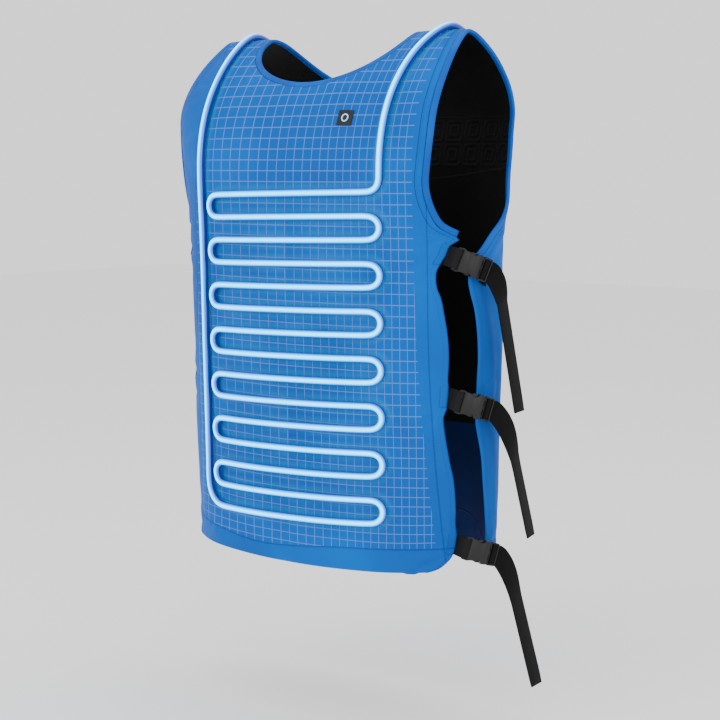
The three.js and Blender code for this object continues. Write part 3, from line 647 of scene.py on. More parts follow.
def split(frames):
    return np.array([p for p, _ in frames]), np.array([n for _, n in frames])


def evenly(points, normals, looped, pitch):
    """The same line with its stations a pitch apart."""
    if looped:
        points, normals = np.vstack([points, points[:1]]), np.vstack([normals, normals[:1]])
    gone = run_lengths(points)
    count = max(4, int(gone[-1] / pitch))
    at = np.linspace(0, gone[-1], count + 1)[: count if looped else count + 1]
    points = np.stack([np.interp(at, gone, points[:, k]) for k in range(3)], axis=-1)
    normals = unit(np.stack([np.interp(at, gone, normals[:, k]) for k in range(3)], axis=-1))
    for _ in range(3):
        inner = 0.5 * points + 0.25 * (np.roll(points, 1, 0) + np.roll(points, -1, 0))
        points = inner if looped else np.vstack([points[:1], inner[1:-1], points[-1:]])
    return points, normals


def neck_line():
    front, back = edge_frames("front", "neck"), edge_frames("back", "neck")[1:]
    frames = flipped(front[:-1]) + front[::-1] + back + flipped(back[:-1])[::-1]
    return evenly(*split(frames), True, BINDING_STEP)


def arm_line(mirror):
    hand = -1 if mirror else 1
    frames = edge_frames("front", "arm", hand)[::-1] + edge_frames("back", "arm", hand)[1:]
    if mirror:
        frames = flipped(frames)
    return evenly(*split(frames), False, BINDING_STEP)


# Straps
def strap_frame(strap, hand):
    """Where a strap, drawn on the left, starts on the front panel's side edge, and its directions."""
    down = down_at("front", strap["level"])
    point, normal = body_frame("front", down, edge_across("front", down, hand))
    outward = unit(np.array([normal[0], normal[1], 0.0]))
    fall = math.radians(strap["fall"])
    along = np.cross([0, 0, 1], outward) * math.cos(fall) + np.array([0, 0, -math.sin(fall)])
    across = np.cross(outward, along)
    reach = 0.0
    for k in range(-6, 7):
        level = min(strap["level"] + k / 6 * (webbing_width / 2 + 1), body_length)
        beside = down_at("front", level)
        rim = body_points("front", beside, [edge_across("front", beside, hand)])[0]
        reach = max(reach, float(np.dot(rim - point, along)))
    start = point - normal * frame_cloth / 2 + along * reach
    return dict(start=start, along=along, across=across, face=outward)


def place_in(f, x, z):
    return f["start"] + f["along"] * x + f["face"] * z


def path_stations(f, path):
    points = np.array([place_in(f, x, z) for x, z in path])
    along = unit(np.gradient(points, axis=0))
    return [(p, f["across"], unit(np.cross(a, f["across"]))) for p, a in zip(points, along)]


def anchor_stations(f):
    lift = socket_thickness / 2 + webbing_clearance + webbing_thickness / 2
    top, bottom = stand_off + lift, stand_off - lift
    bar = anchor_length - anchor_gap
    slot = anchor_length + bar_width + slot_width / 2
    return path_stations(f, [
        (anchor_gap - 3.4, -0.5), (anchor_gap - 0.6, -0.2), (bar * 0.4, top * 0.4), (bar * 0.8, top * 0.88),
        (bar + bar_width * 0.5, top), (slot - 0.7, top - 0.3),
        (slot + 0.2, top - 1.6), (slot + 0.2, bottom + 1.6),
        (slot - 0.7, bottom + 0.3), (bar + bar_width * 0.5, bottom), (bar * 0.6, bottom)])


def girth_beside(side, down, y):
    x, ys, length = section(side, down)
    i = int(np.nonzero(ys >= y)[0][-1])
    j = min(i + 1, len(ys) - 1)
    share = 0.0 if ys[j] == ys[i] else min(1.0, max(0.0, (y - ys[i]) / (ys[j] - ys[i])))
    return length[i] + (length[j] - length[i]) * share


def tail_stations(f, strap, length):
    lift = plug_thickness / 2 + webbing_clearance + webbing_thickness / 2
    top, bottom = stand_off + lift, stand_off - lift
    under = bottom - webbing_thickness - webbing_clearance
    inner, outer = anchor_length + inner_slot, anchor_length + outer_slot
    end = anchor_length + buckle_end
    stations = []
    for share in (0.6, 0.48, 0.36, 0.24, 0.12):
        wanted = place_in(f, end + back_strap_length * share, 0)
        down = down_at("back", -wanted[2])
        point, normal = body_frame("back", down, girth_beside("back", down, wanted[1]))
        width = unit(f["across"] - normal * np.dot(f["across"], normal))
        heading = np.cross(width, normal)
        if np.dot(heading, f["along"]) > 0:
            heading = -heading
        seat = point + normal * (strap_seat + webbing_thickness / 2)
        stations.append((seat, width, unit(np.cross(heading, width))))
    stations += path_stations(f, [
        (end - 3, under), (inner + 1.4, under + 0.2), (inner, under + 1.8), (inner, top - 1.5),
        (inner + 1.2, top - 0.2), (outer - 1.2, top - 0.2), (outer, top - 1.5), (outer, bottom + 1.5),
        (outer + 1.2, bottom + 0.2), (end - 0.5, bottom)])
    steps = math.ceil(length / 14)
    step = length / steps
    twist, lean = math.radians(strap["twist"]), math.radians(strap["lean"])
    hang = np.array([math.cos(twist), math.sin(twist), 0.0])
    backward = -np.cross(hang, [0, 0, 1])
    rest = np.array([0, 0, -math.cos(lean)]) + backward * math.sin(lean) + hang * strap["spread"]
    point = place_in(f, end + 3, bottom)
    for i in range(steps + 1):
        share = min(1.0, i * step / strap["bend"])
        ease = strap["skew"] + (1 - strap["skew"]) * (1 - (1 - share) ** 2)
        heading = unit(f["along"] + (rest - f["along"]) * ease)
        face = f["face"] + (hang - f["face"]) * share
        face = unit(face - heading * np.dot(heading, face))
        width = np.cross(face, heading)
        if i == steps:
            width[2] = 0.05
        stations.append((point, width, face))
        point = point + heading * step
    return stations


def ribbon(name, stations, mirror):
    """Webbing through stations, rounded at its edges, with stations filled in by a smooth curve."""
    points, across, faces_out = (np.array(column) for column in zip(*stations))
    fine = []
    for i in range(len(points) - 1):
        span = np.linalg.norm(points[i + 1] - points[i])
        steps = max(2, int(span / 1.6))
        before, after = max(i - 1, 0), min(i + 2, len(points) - 1)
        for k in range(steps):
            t = k / steps
            p0, p1, p2, p3 = points[before], points[i], points[i + 1], points[after]
            m1, m2 = (p2 - p0) / 2, (p3 - p1) / 2
            n1, n2 = np.linalg.norm(m1), np.linalg.norm(m2)
            m1, m2 = m1 * min(1, span / (n1 + 1e-9)), m2 * min(1, span / (n2 + 1e-9))
            h = (2 * t**3 - 3 * t**2 + 1, t**3 - 2 * t**2 + t, -2 * t**3 + 3 * t**2, t**3 - t**2)
            p = h[0] * p1 + h[1] * m1 + h[2] * p2 + h[3] * m2
            wide = across[i] * (1 - t) + across[i + 1] * t
            fine.append((p, wide, faces_out[i] * (1 - t) + faces_out[i + 1] * t))
    fine.append((points[-1], across[-1], faces_out[-1]))
    centre, wide, up = (np.array(column) for column in zip(*fine))
    wide, up = unit(wide), unit(up)
    if mirror:
        centre, wide, up = (v * [-1, 1, 1] for v in (centre, wide, up))
    half, thick = webbing_width / 2, webbing_thickness / 2
    outline = rounded_outline(-half, half, -thick, thick, 0.55, 2)
    return loft(name, centre, wide, up, outline, False, np.append(outline[:, 0], outline[0, 0]))


# Shading helpers
def srgb(r, g, b):
    values = [c / 255 for c in (r, g, b)]
    return [c / 12.92 if c <= 0.04045 else ((c + 0.055) / 1.055) ** 2.4 for c in values] + [1.0]


class Graph:
    """A material, with short names for its shader nodes. A value is a socket or a number."""

    def __init__(self, name):
        self.material = bpy.data.materials.new(name)
        self.material.use_nodes = True
        self.tree = self.material.node_tree

    def node(self, kind, **settings):
        node = self.tree.nodes.new(kind)
        for key, value in settings.items():
            setattr(node, key, value)
        return node

    def plug(self, socket, value):
        if isinstance(value, bpy.types.NodeSocket):
            self.tree.links.new(value, socket)
        else:
            socket.default_value = value

    def put(self, name, value):
        """Sets an input of the material's surface."""
        self.plug(self.tree.nodes["Principled BSDF"].inputs[name], value)

    def math(self, operation, *values):
        node = self.node("ShaderNodeMath", operation=operation)
        for k, value in enumerate(values):
            self.plug(node.inputs[k], value)
        return node.outputs[0]

    def times(self, a, b):
        return self.math("MULTIPLY", a, b)

    def fit(self, value, factor, start):
        return self.math("MULTIPLY_ADD", value, factor, start)

    def less(self, a, b):
        return self.math("SUBTRACT", a, b)

    def size(self, value):
        return self.math("ABSOLUTE", value)

    def most(self, first, *others):
        for other in others:
            first = self.math("MAXIMUM", first, other)
        return first

    def ramp(self, value, low, high, to_low=0.0, to_high=1.0):
        node = self.node("ShaderNodeMapRange", interpolation_type="SMOOTHSTEP")
        for socket, v in zip(node.inputs[:5], (value, low, high, to_low, to_high)):
            self.plug(socket, v)
        return node.outputs[0]

    def mix(self, share, a, b, blend="MIX"):
        node = self.node("ShaderNodeMix", data_type="RGBA", blend_type=blend)
        self.plug(node.inputs[0], share)
        self.plug(node.inputs[6], a)
        self.plug(node.inputs[7], b)
        return node.outputs[2]

    def pattern(self):
        """The pattern map in millimetres: girth and height positions."""
        node = self.node("ShaderNodeUVMap", uv_map="pattern")
        split = self.node("ShaderNodeSeparateXYZ")
        self.plug(split.inputs[0], node.outputs[0])
        return self.times(split.outputs[0], 1000.0), self.times(split.outputs[1], 1000.0)

    def value(self, name):
        return self.node("ShaderNodeAttribute", attribute_name=name).outputs["Fac"]

    def place(self):
        return self.node("ShaderNodeTexCoord").outputs["Object"]

    def noise(self, scale, detail=3.0, rough=0.5, where=None):
        node = self.node("ShaderNodeTexNoise")
        self.plug(node.inputs["Vector"], self.place() if where is None else where)
        self.plug(node.inputs["Scale"], scale)
        self.plug(node.inputs["Detail"], detail)
        self.plug(node.inputs["Roughness"], rough)
        return node.outputs["Fac"]

    def wave(self, value, pitch):
        """A sine between 0 and 1 with the pitch in millimetres."""
        turn = self.times(value, 2 * math.pi / pitch)
        return self.fit(self.math("SINE", turn), 0.5, 0.5)

    def lines(self, value, pitch, width, soft=0.35):
        """1 on lines of that width, one to each pitch, otherwise 0."""
        phase = self.math("FRACT", self.math("DIVIDE", value, pitch))
        off = self.times(self.size(self.less(phase, 0.5)), pitch)
        return self.ramp(off, width / 2 - soft / 2, width / 2 + soft / 2, 1.0, 0.0)

    def at(self, value, centre, width, soft=0.4):
        """1 within a width about the centre, otherwise 0."""
        off = self.size(self.less(value, centre))
        return self.ramp(off, width / 2, width / 2 + soft, 1.0, 0.0)

    def bump(self, height, depth, strength=1.0, below=None):
        node = self.node("ShaderNodeBump")
        self.plug(node.inputs["Height"], height)
        self.plug(node.inputs["Distance"], depth * MM)
        self.plug(node.inputs["Strength"], strength)
        if below is not None:
            self.plug(node.inputs["Normal"], below)
        return node.outputs[0]


SHELL_DARK = srgb(0, 80, 166)
SHELL_LIGHT = srgb(0, 92, 184)
# The last colour is a painted glow, the tube's light laid into the cloth beside it
SHELL_PAINTED_GLOW = srgb(2, 130, 206)
# The printed grid's pitch and first line, across and down. It draws together to the left and at the hem.
GRID_PITCH = (13.6, 12.9)
GRID_START = (-3.0, 10.6)
GRID_ACROSS = (1.122e-3, 1.776e-6)
GRID_DOWN = (440.0, 7.2e-4)
GRID_LINE = 1.1
# The lining's pressed squares: size, and where their columns and the first of their two rows start
PRESSED_CELL = (31.5, 30.0)
PRESSED_COLUMN = 89.5
PRESSED_ROW = 202.0


def shell_material(name, printed):
    """Woven nylon in broad darker and lighter patches, with stitched seams and the front's printed grid, a
    painted glow beside the tube, and painted shade in the seam folds and beside the armhole binding.
    """
    g = Graph(name)
    across, down = g.pattern()

    def carried(key):
        return g.times(g.value(key), 1000.0)

    level, side_seam, hem = carried("level"), carried("side_seam"), carried("hem_seam")
    edge, near = carried("edge_inset"), carried("tube_near")
    tone = g.ramp(g.noise(7.0, 2.0), 0.35, 0.7)
    base = g.mix(tone, SHELL_DARK, SHELL_LIGHT)
    weave = g.times(g.wave(across, 0.9), g.wave(down, 0.9))
    base = g.mix(g.times(weave, 0.12), base, srgb(2, 104, 206))
    # Painted glow: the tube's light laid into the cloth's colour beside it, lighter and bluer within about 16
    # mm
    base = g.mix(g.ramp(near, 5.0, 16.0, 0.75, 0.0), base, SHELL_PAINTED_GLOW)
    hem_row = g.times(g.at(hem, 0.0, 0.8), g.lines(across, 3.2, 2.2))
    side_row = g.times(g.at(side_seam, 0.0, 0.8), g.lines(down, 3.2, 2.2))
    edge_row = g.times(g.at(edge, 6.5, 0.7), g.lines(down, 3.2, 2.2))
    thread = g.most(g.most(hem_row, side_row), g.times(edge_row, 0.8))
    fold = g.most(g.at(hem, -0.9, 0.6, 0.8), g.at(side_seam, -0.9, 0.4, 0.8))
    if printed:
        cap = carried("cap_seam")
        fold = g.most(fold, g.at(cap, 0.0, 0.7, 0.9))
        draw = g.fit(across, GRID_ACROSS[1], GRID_ACROSS[0])
        columns = g.times(across, g.fit(across, draw, 1.0))
        low = g.most(g.less(level, GRID_DOWN[0]), 0.0)
        rows = g.fit(g.times(low, low), GRID_DOWN[1], level)
        grid = g.most(*(g.lines(g.math("ADD", value, pitch / 2 - start), pitch, GRID_LINE)
                        for value, pitch, start in zip((columns, rows), GRID_PITCH, GRID_START)))
        inside = g.ramp(carried("print_inset"), -0.3, 0.3)
        base = g.mix(g.times(grid, g.times(inside, 0.75)), base, srgb(88, 128, 206))
    # Painted shade: a dark line on the cloth just inside the armhole binding, where the binding's raised edge
    # shades the seam
    beside = g.times(g.at(edge, 8.6, 0.5, 0.7), g.ramp(level, 244.0, 240.0))
    base = g.mix(g.times(beside, 0.6), base, srgb(0, 36, 96))
    # The sewn ends of the straps, a faint sunk box beside the edge for each, darkened with the folds as
    # painted shade
    for strap in STRAPS:
        beside = g.times(g.at(level, strap["level"] - 2.0, 24.0), g.at(edge, 10.0, 0.5, 0.8))
        under = g.times(g.at(level, strap["level"] + 10.5, 0.6, 0.8), g.ramp(edge, 10.0, 9.0))
        fold = g.most(fold, g.most(beside, under))
    # Painted shade: the sunk folds of the seams, the cap seam and the strap boxes are darkened as if in shade
    base = g.mix(g.times(thread, 0.3), base, srgb(0, 52, 134))
    base = g.mix(g.times(fold, 0.32), base, srgb(0, 40, 108))
    g.put("Base Color", base)
    g.put("Roughness", g.ramp(g.noise(60.0, 4.0), 0.3, 0.7, 0.48, 0.6))
    g.put("Specular IOR Level", 0.05)
    wrinkle = g.bump(g.noise(26.0, 4.0, 0.55), 1.6, 0.55)
    fine = g.bump(weave, 0.12, 0.8, wrinkle)
    sewn = g.bump(g.less(g.times(thread, 0.6), fold), 0.4, 0.8, fine)
    g.put("Normal", sewn)
    return g.material


def lining_material(name, squares):
    """Near-black lining, navy low down and pressed on the back with two rows of nested rounded squares."""
    g = Graph(name)
    across, down = g.pattern()
    level = g.times(g.value("level"), 1000.0)
    tone = g.ramp(g.noise(14.0, 3.0), 0.3, 0.7)
    dark = g.mix(tone, srgb(2, 2, 3), srgb(6, 6, 8))
    base = g.mix(g.ramp(level, 475.0, 476.5), dark, g.mix(tone, srgb(2, 24, 72), srgb(4, 32, 88)))
    weave = g.times(g.wave(across, 1.1), g.wave(down, 1.1))
    height = g.bump(g.noise(22.0, 4.0), 1.8, 0.6)
    height = g.bump(weave, 0.16, 0.8, height)
    if squares:
        spots = []
        for value, first, cell in zip((across, down), (PRESSED_COLUMN, PRESSED_ROW), PRESSED_CELL):
            phase = g.math("FRACT", g.math("DIVIDE", g.less(value, first), cell))
            spots.append(g.math("POWER", g.size(g.fit(phase, 2.0, -1.0)), 5.0))
        reach = g.math("POWER", g.math("ADD", spots[0], spots[1]), 0.2)
        rings = g.fit(g.math("COSINE", g.times(reach, 4.8 * math.pi)), 0.5, 0.5)
        rings = g.times(rings, g.times(g.ramp(reach, 0.99, 0.93), g.ramp(reach, 0.2, 0.26)))
        low = PRESSED_ROW + 2 * PRESSED_CELL[1]
        inside = g.times(g.ramp(down, PRESSED_ROW - 1, PRESSED_ROW), g.ramp(down, low + 1, low))
        rings = g.times(rings, inside)
        height = g.bump(rings, 1.4, 0.9, height)
        base = g.mix(g.times(rings, 0.3), base, srgb(19, 19, 22))
        # Seams above and below the pressed band, and the pocket low down
        slope = g.fit(g.size(across), -0.11, 285.0)
        seams = g.most(g.at(down, PRESSED_ROW - 3.0, 0.8, 1.0), g.at(g.less(down, slope), 0.0, 1.2, 1.4))
        bow = g.math("POWER", g.most(g.fit(across, 1 / 48, -120 / 48), 0.0), 3.0)
        pocket = g.at(g.less(level, g.fit(bow, 16.0, 583.0)), 0.0, 0.8, 1.0)
        seams = g.most(seams, pocket)
        height = g.bump(seams, 1.2, 0.8, height)
        base = g.mix(g.times(seams, 0.5), base, srgb(22, 23, 27))
    g.put("Base Color", base)
    g.put("Roughness", 0.7)
    g.put("Specular IOR Level", 0.12)
    g.put("Normal", height)
    return g.material


def binding_material():
    """Ribbed knitted tape with its two stitch rows."""
    g = Graph("binding_tape")
    around, along = g.pattern()
    base = g.mix(g.ramp(g.noise(18.0, 2.0), 0.35, 0.65), srgb(0, 72, 164), srgb(0, 84, 182))
    rib = g.wave(along, 1.3)
    base = g.mix(g.times(rib, 0.18), base, srgb(8, 106, 196))
    g.put("Base Color", base)
    g.put("Roughness", 0.55)
    g.put("Specular IOR Level", 0.08)
    soft = g.bump(g.noise(55.0, 3.0), 0.7, 0.5)
    g.put("Normal", g.bump(rib, 0.18, 0.9, soft))
    return g.material


def tube_material():
    """Clear ice-blue tube with a painted glow, though it is no lamp: a painted highlight, pale along its
    outer side, and painted shade, bluer and darker towards its flanks.
    """
    g = Graph("ice_tube")
    flank, along = g.pattern()
    painted_highlight = g.ramp(flank, 0.4, 4.4, 1.0, 0.0)
    # Painted shade: rim darkens the tube's flanks to a deep blue
    rim = g.ramp(flank, 4.4, 6.6)
    colour = g.mix(painted_highlight, srgb(14, 112, 244), srgb(30, 214, 255))
    colour = g.mix(rim, colour, srgb(6, 34, 140))
    g.put("Base Color", g.mix(0.45, colour, srgb(0, 60, 150)))
    g.put("Emission Color", colour)
    # Painted glow: the tube emits light though it is no lamp, brightest along the painted highlight
    g.put("Emission Strength", g.fit(painted_highlight, 3.5, g.fit(rim, -0.7, 0.85)))
    g.put("Roughness", 0.16)
    g.put("Coat Weight", 0.5)
    g.put("Coat Roughness", 0.08)
    return g.material


def webbing_material(name, low, high):
    """Black polypropylene webbing: a twill with tighter edges."""
    g = Graph(name)
    across, along = g.pattern()
    chevron = g.size(across)
    rib = g.wave(g.math("ADD", along, chevron), 1.9)
    cord = g.wave(across, 1.6)
    weave = g.times(rib, g.fit(cord, 0.5, 0.5))
    base = g.mix(weave, srgb(low, low, low), srgb(high, high, high + 1))
    g.put("Base Color", base)
    g.put("Roughness", 0.7)
    g.put("Specular IOR Level", 0.12)
    g.put("Normal", g.bump(weave, 0.3, 0.9))
    return g.material


def plastic_material(name, colour, rough, depth=0.12):
    g = Graph(name)
    tone = g.ramp(g.noise(40.0, 2.0), 0.35, 0.65)
    g.put("Base Color", g.mix(tone, colour, [c * 1.18 for c in colour[:3]] + [1.0]))
    g.put("Roughness", g.ramp(g.noise(220.0, 3.0), 0.3, 0.7, rough - 0.05, rough + 0.06))
    g.put("Specular IOR Level", 0.3)
    g.put("Normal", g.bump(g.noise(900.0, 2.0), depth, 0.4))
    return g.material


def light_material():
    g = Graph("ring_light")
    colour = g.mix(g.noise(120.0, 1.0), srgb(120, 190, 238), srgb(160, 215, 248))
    g.put("Base Color", colour)
    g.put("Emission Color", colour)
    g.put("Emission Strength", 0.35)
    g.put("Roughness", 0.3)
    return g.material


# Buckles, modelled once in their own frame: X along the strap, Y across it, Z outward
def block(name, low, high):
    """A box between two corners, in millimetres."""
    low, high = Vector(low) * MM, Vector(high) * MM
    bpy.ops.mesh.primitive_cube_add(size=1)
    piece = bpy.context.object
    piece.name = name
    edit_all(piece, bpy.ops.transform.resize, value=high - low)
    edit_all(piece, bpy.ops.transform.translate, value=(high + low) / 2)
    return piece


def post(name, centre, radius, depth, segments=40):
    bpy.ops.mesh.primitive_cylinder_add(vertices=segments, radius=radius * MM, depth=depth * MM)
    piece = bpy.context.object
    piece.name = name
    edit_all(piece, bpy.ops.transform.translate, value=Vector(centre) * MM)
    return piece


def reshape(piece, low, high, value, axis=0, **settings):
    """Scales the points that lie between two places along an axis."""
    active(piece)
    bpy.ops.object.mode_set(mode="EDIT")
    bpy.ops.mesh.select_mode(type="VERT")
    bpy.ops.mesh.select_all(action="DESELECT")
    bpy.ops.object.mode_set(mode="OBJECT")
    for v in piece.data.vertices:
        v.select = low < v.co[axis] / MM < high
    bpy.ops.object.mode_set(mode="EDIT")
    bpy.ops.transform.resize(value=value, **settings)
    bpy.ops.object.mode_set(mode="OBJECT")


def cut_across(piece, x):
    edit_all(piece, bpy.ops.mesh.bisect, plane_co=(x * MM, 0, 0), plane_no=(1, 0, 0))


def bevel_edges(piece, width, segments=3, angle=40):
    apply_modifier(piece, "BEVEL", width=width * MM, segments=segments, limit_method="ANGLE",
                   angle_limit=math.radians(angle), harden_normals=False)


def combine(piece, others, operation):
    for other in others:
        apply_modifier(piece, "BOOLEAN", object=other, operation=operation, solver="EXACT")
        bpy.data.objects.remove(other, do_unlink=True)


half_buckle = buckle_width / 2
half_socket = socket_thickness / 2
notch_centre = socket_length * 0.6


def make_socket():
    piece = block("socket_form", (0, -half_buckle, -half_socket), (socket_length, half_buckle, half_socket))
    for x in (3.0, 6.4, 9.5, 13.0, 27.0):
        cut_across(piece, x)
    for low, high, width, thick in ((-1, 1, 0.95, 0.6), (2, 4, 0.97, 0.66), (6, 7, 1.0, 0.8),
                                    (9, 10, 1.0, 0.94), (31, 33, 0.97, 0.78)):
        reshape(piece, low, high, (1, width, thick))
    bevel_edges(piece, 1.7, 4, 50)
    slot_half = webbing_width / 2 + webbing_clearance
    cutters = [block("slot", (bar_width, -slot_half, -20), (bar_width + slot_width, slot_half, 20)),
               block("pocket", (bar_width + slot_width + 2.2, -half_buckle + 2, -plug_thickness / 2 - 0.4),
                     (socket_length + 5, half_buckle - 2, plug_thickness / 2 + 0.4))]
    # Thumb notches, each with a long hollow that runs into it from the strap's side
    for hand in (-1, 1):
        cutters.append(post("notch", (notch_centre, hand * (half_buckle + 0.9), 0), 5.0, 40))
        cutters.append(post("hollow", (notch_centre - 6.5, hand * (half_buckle + 10.2), 0), 12.0, 40, 64))
    combine(piece, cutters, "DIFFERENCE")
    bevel_edges(piece, 0.4, 2, 40)
    return piece


def make_plug():
    half = plug_thickness / 2
    end = buckle_end
    piece = block("plug_form", (plug_start, -half_buckle, -half), (end, half_buckle, half))
    cut_across(piece, plug_start + 3)
    reshape(piece, end - 1, end + 1, (1, 0.95, 0.9))
    bevel_edges(piece, 1.1, 3, 50)
    slot_half = webbing_width / 2 + webbing_clearance
    slots = [block("slot", (at - slot_width / 2, -slot_half, -20), (at + slot_width / 2, slot_half, 20))
             for at in (inner_slot, outer_slot)]
    combine(piece, slots, "DIFFERENCE")
    arms = []
    for hand in (-1, 1):
        outer = half_buckle - 2.6
        y = sorted((hand * outer, hand * (outer - 3.4)))
        arm = block("arm", (notch_centre - 4.4, y[0], -half + 0.3), (plug_start + 1.2, y[1], half - 0.3))
        bevel_edges(arm, 0.7, 2, 50)
        tab = post("tab", (notch_centre, hand * (half_buckle - 4.1), 0), 4.6, 2 * half - 0.3, 36)
        middle = (notch_centre * MM, hand * (half_buckle - 3.4) * MM, 0)
        edit_all(tab, bpy.ops.transform.resize, value=(0.95, 0.78, 1), center_override=middle)
        bevel_edges(tab, 0.6, 2, 50)
        arms += [arm, tab]
    tongue = block("tongue", (plug_start - 12, -2.6, -half + 0.4), (plug_start + 1.0, 2.6, half - 0.4))
    bevel_edges(tongue, 0.6, 2, 50)
    combine(piece, arms + [tongue], "UNION")
    bevel_edges(piece, 0.25, 2, 40)
    return piece


def placed_copy(form, name, origin, axes, mirror):
    """A copy of a form with its place in its mesh; the mirrored ones have their faces turned back outward."""
    data = form.data.copy()
    data.name = name
    piece = bpy.data.objects.new(name, data)
    bpy.context.collection.objects.link(piece)
    x, y, z = (Vector(a) for a in axes)
    turn = Matrix((x, y, z)).transposed().to_4x4()
    move = Matrix.Translation(Vector(origin) * MM) @ turn
    if mirror:
        move = Matrix.Scale(-1, 4, (1, 0, 0)) @ move
    data.transform(move)
    outward_faces(piece)
    data.set_sharp_from_angle(angle=math.radians(38))
    return piece


def make_patch():
    """The control patch, a thin soft square with a plain lit ring, face up at its own origin."""
    width, height, thick = 21.0, 19.0, 2.0
    piece = block("patch_form", (-width / 2, -height / 2, -thick), (width / 2, height / 2, 0))
    apply_modifier(piece, "BEVEL", width=2.4 * MM, segments=6, limit_method="ANGLE", affect="EDGES",
                   angle_limit=math.radians(80), loop_slide=False)
    middle = -0.5 * thick
    reshape(piece, middle, 1, (1, 1, 0.3), axis=2, center_override=(0, 0, middle * MM))
    ring = post("ring_form", (0, 0, 0), 5.0, 0.7, 48)
    hole = post("ring_hole", (0, 0, 0), 3.4, 4.0, 48)
    combine(ring, [hole], "DIFFERENCE")
    bevel_edges(ring, 0.2, 2, 40)
    edit_all(ring, bpy.ops.transform.translate, value=(0, 0, middle * 0.7 * MM))
    return piece, ring


# Build everything
TUBE_STEP = 2.6
TUBE_SIDES = 18
fine_tube, fine_normals = evenly(*tube_stations(), True, TUBE_STEP)


def near_tube(verts):
    """Distance from each point to the tube's centre line, in millimetres."""
    near = np.full(len(verts), 1e9)
    for start in range(0, len(verts), 4000):
        part = verts[start:start + 4000]
        for run in range(0, len(fine_tube), 800):
            line = fine_tube[run:run + 800]
            gap = np.sqrt(((part[:, None] - line[None]) ** 2).sum(-1)).min(1)
            near[start:start + 4000] = np.minimum(near[start:start + 4000], gap)
    return near


shell_blue = shell_material("woven_shell_printed", True)
shell_plain = shell_material("woven_shell", False)
lining_plain = lining_material("lining", False)
lining_squares = lining_material("lining_pressed", True)
tape = binding_material()
ice = tube_material()
strap_black = webbing_material("webbing", 3, 13)
# The loops are the same webbing as the tails, with a lighter base as painted light where they face the key
# light
loop_webbing_painted_lit = webbing_material("webbing_loop_painted_lit", 14, 32)
acetal = plastic_material("acetal", srgb(18, 18, 20), 0.36)
rubber = plastic_material("patch_rubber", srgb(14, 15, 18), 0.55)
ring_light = light_material()

lining_depth = shell_wall + layer_gap
for side, material, lined in (("front", shell_blue, lining_plain), ("back", shell_plain, lining_squares)):
    shell, area = cloth_piece(side + "_shell", side, 0.0, shell_wall, near_tube)
    dress(shell, material, "shell_blue", side + "_panel")
    rows = panel_rows(side)
    width = 2 * max(edge_across(side, down) for down, _ in rows) * MM
    lining, area = cloth_piece(side + "_lining_cloth", side, lining_depth, lining_wall, shrink=1.0)
    dress(lining, lined, "lining_black", side + "_lining")

neck_tape = sweep("neck_tape", *neck_line(), BINDING_OUTLINE, True, -1.0)
dress(neck_tape, tape, "binding_blue", "neck_binding")
for hand, mirror in (("left", False), ("right", True)):
    turn = -1.0 if mirror else 1.0
    arm_tape = sweep("arm_tape_" + hand, *arm_line(mirror), BINDING_OUTLINE, False, turn)
    dress(arm_tape, tape, "binding_blue", "arm_binding_" + hand)

ring = ring_outline(tube_radius, TUBE_SIDES)
ring_turn = np.arange(TUBE_SIDES + 1) / TUBE_SIDES * 2 * math.pi
top_turn = np.abs((ring_turn - math.pi / 2 + math.pi) % (2 * math.pi) - math.pi)
tube_body = sweep("tube_body", fine_tube, fine_normals, ring, True, 1.0, top_turn * tube_radius)
dress(tube_body, ice, "tube_ice", "cooling_tube")

socket_form, plug_form = make_socket(), make_plug()
for number, strap in enumerate(STRAPS, 1):
    for hand, mirror in (("left", False), ("right", True)):
        f = strap_frame(strap, -1 if mirror else 1)
        origin = place_in(f, anchor_length, stand_off)
        axes = (f["along"], f["across"], f["face"])
        end = f"_{hand}_{number}"
        length = right_tail if mirror else strap["tail"]
        anchor = ribbon("anchor_webbing" + end, anchor_stations(f), mirror)
        dress(anchor, loop_webbing_painted_lit, "webbing_black", "strap_anchor" + end)
        tail = ribbon("tail_webbing" + end, tail_stations(f, strap, length), mirror)
        dress(tail, strap_black, "webbing_black", "strap_tail" + end)
        for name, form in (("socket", socket_form), ("plug", plug_form)):
            copy = placed_copy(form, name + end, origin, axes, mirror)
            dress(copy, acetal, "buckle_black", "buckle_" + name + end)

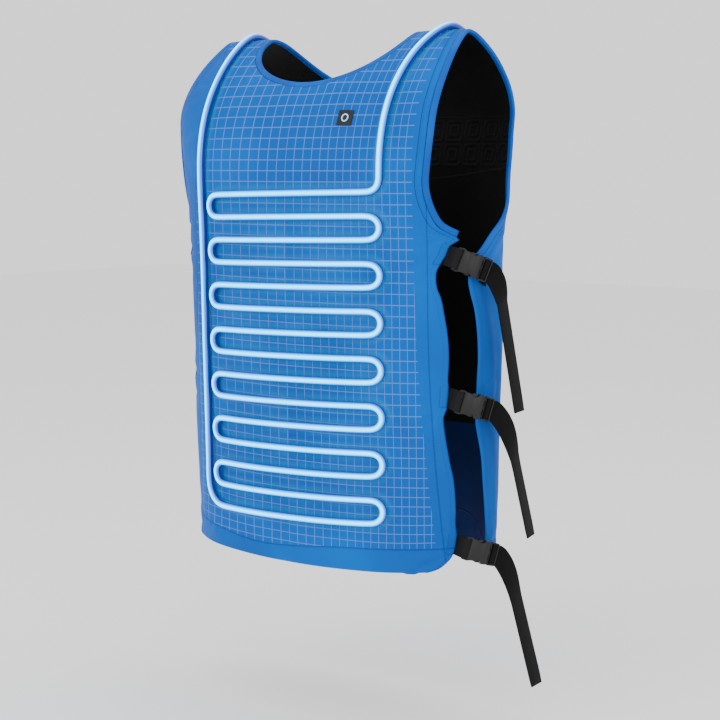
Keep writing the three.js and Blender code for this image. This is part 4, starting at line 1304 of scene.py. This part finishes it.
patch_form, ring_form = make_patch()
patch_spot, patch_out = body_frame("front", down_at("front", PATCH_LEVEL), PATCH_ACROSS)
spin = Vector((0, 0, 1)).rotation_difference(Vector(patch_out)).to_matrix()
patch_axes = [spin @ Vector(a) for a in ((1, 0, 0), (0, 1, 0), (0, 0, 1))]
patch_place = patch_spot + patch_out * PATCH_LIFT
patch_body = placed_copy(patch_form, "patch_body", patch_place, patch_axes, False)
dress(patch_body, rubber, "patch_black", "control_patch")
patch_ring = placed_copy(ring_form, "patch_ring", patch_place, patch_axes, False)
dress(patch_ring, ring_light, "patch_black")
for form in (socket_form, plug_form, patch_form, ring_form):
    bpy.data.objects.remove(form, do_unlink=True)


# Camera, light and floor
CAMERA_TURN = math.radians(38)
CAMERA_REACH = 2.2
camera_data = bpy.data.cameras.new("camera")
camera_data.lens = 88.0
camera_data.sensor_width = 36.0
camera_data.clip_end = 20.0
camera = bpy.data.objects.new("camera", camera_data)
bpy.context.collection.objects.link(camera)
eye = Vector((math.sin(CAMERA_TURN) * CAMERA_REACH, -math.cos(CAMERA_TURN) * CAMERA_REACH, -0.15875))
aim = Vector((0.01478, 0.01154, -0.4025))
camera.location = eye
camera.rotation_euler = (aim - eye).to_track_quat("-Z", "Y").to_euler()
bpy.context.scene.camera = camera


def area_light(name, place, target, size, power):
    data = bpy.data.lights.new(name, "AREA")
    data.shape = "RECTANGLE"
    data.size, data.size_y = size
    data.energy = power
    light = bpy.data.objects.new(name, data)
    light.location = place
    light.rotation_euler = (Vector(target) - Vector(place)).to_track_quat("-Z", "Y").to_euler()
    bpy.context.collection.objects.link(light)
    return light


centre = (0, 0, -0.4)
area_light("key", (-0.6, -2.6, 1.0), centre, (1.6, 1.6), 30.0)
area_light("fill", (2.4, -1.4, 0.3), centre, (1.6, 1.8), 15.0)
area_light("top", (0.2, 0.3, 1.9), centre, (1.8, 1.8), 15.0)

world = bpy.data.worlds.new("studio")
world.use_nodes = True
world.node_tree.nodes["Background"].inputs[0].default_value = (1, 1, 1, 1)
world.node_tree.nodes["Background"].inputs[1].default_value = 1.35
bpy.context.scene.world = world

bpy.ops.mesh.primitive_plane_add(size=14, location=(0, 0, -0.83))
floor = bpy.context.object
floor.name = "floor"
paper = Graph("paper")
paper.put("Base Color", (0.93, 0.93, 0.93, 1))
paper.put("Roughness", 0.8)
paper.put("Specular IOR Level", 0.1)
floor.data.materials.append(paper.material)
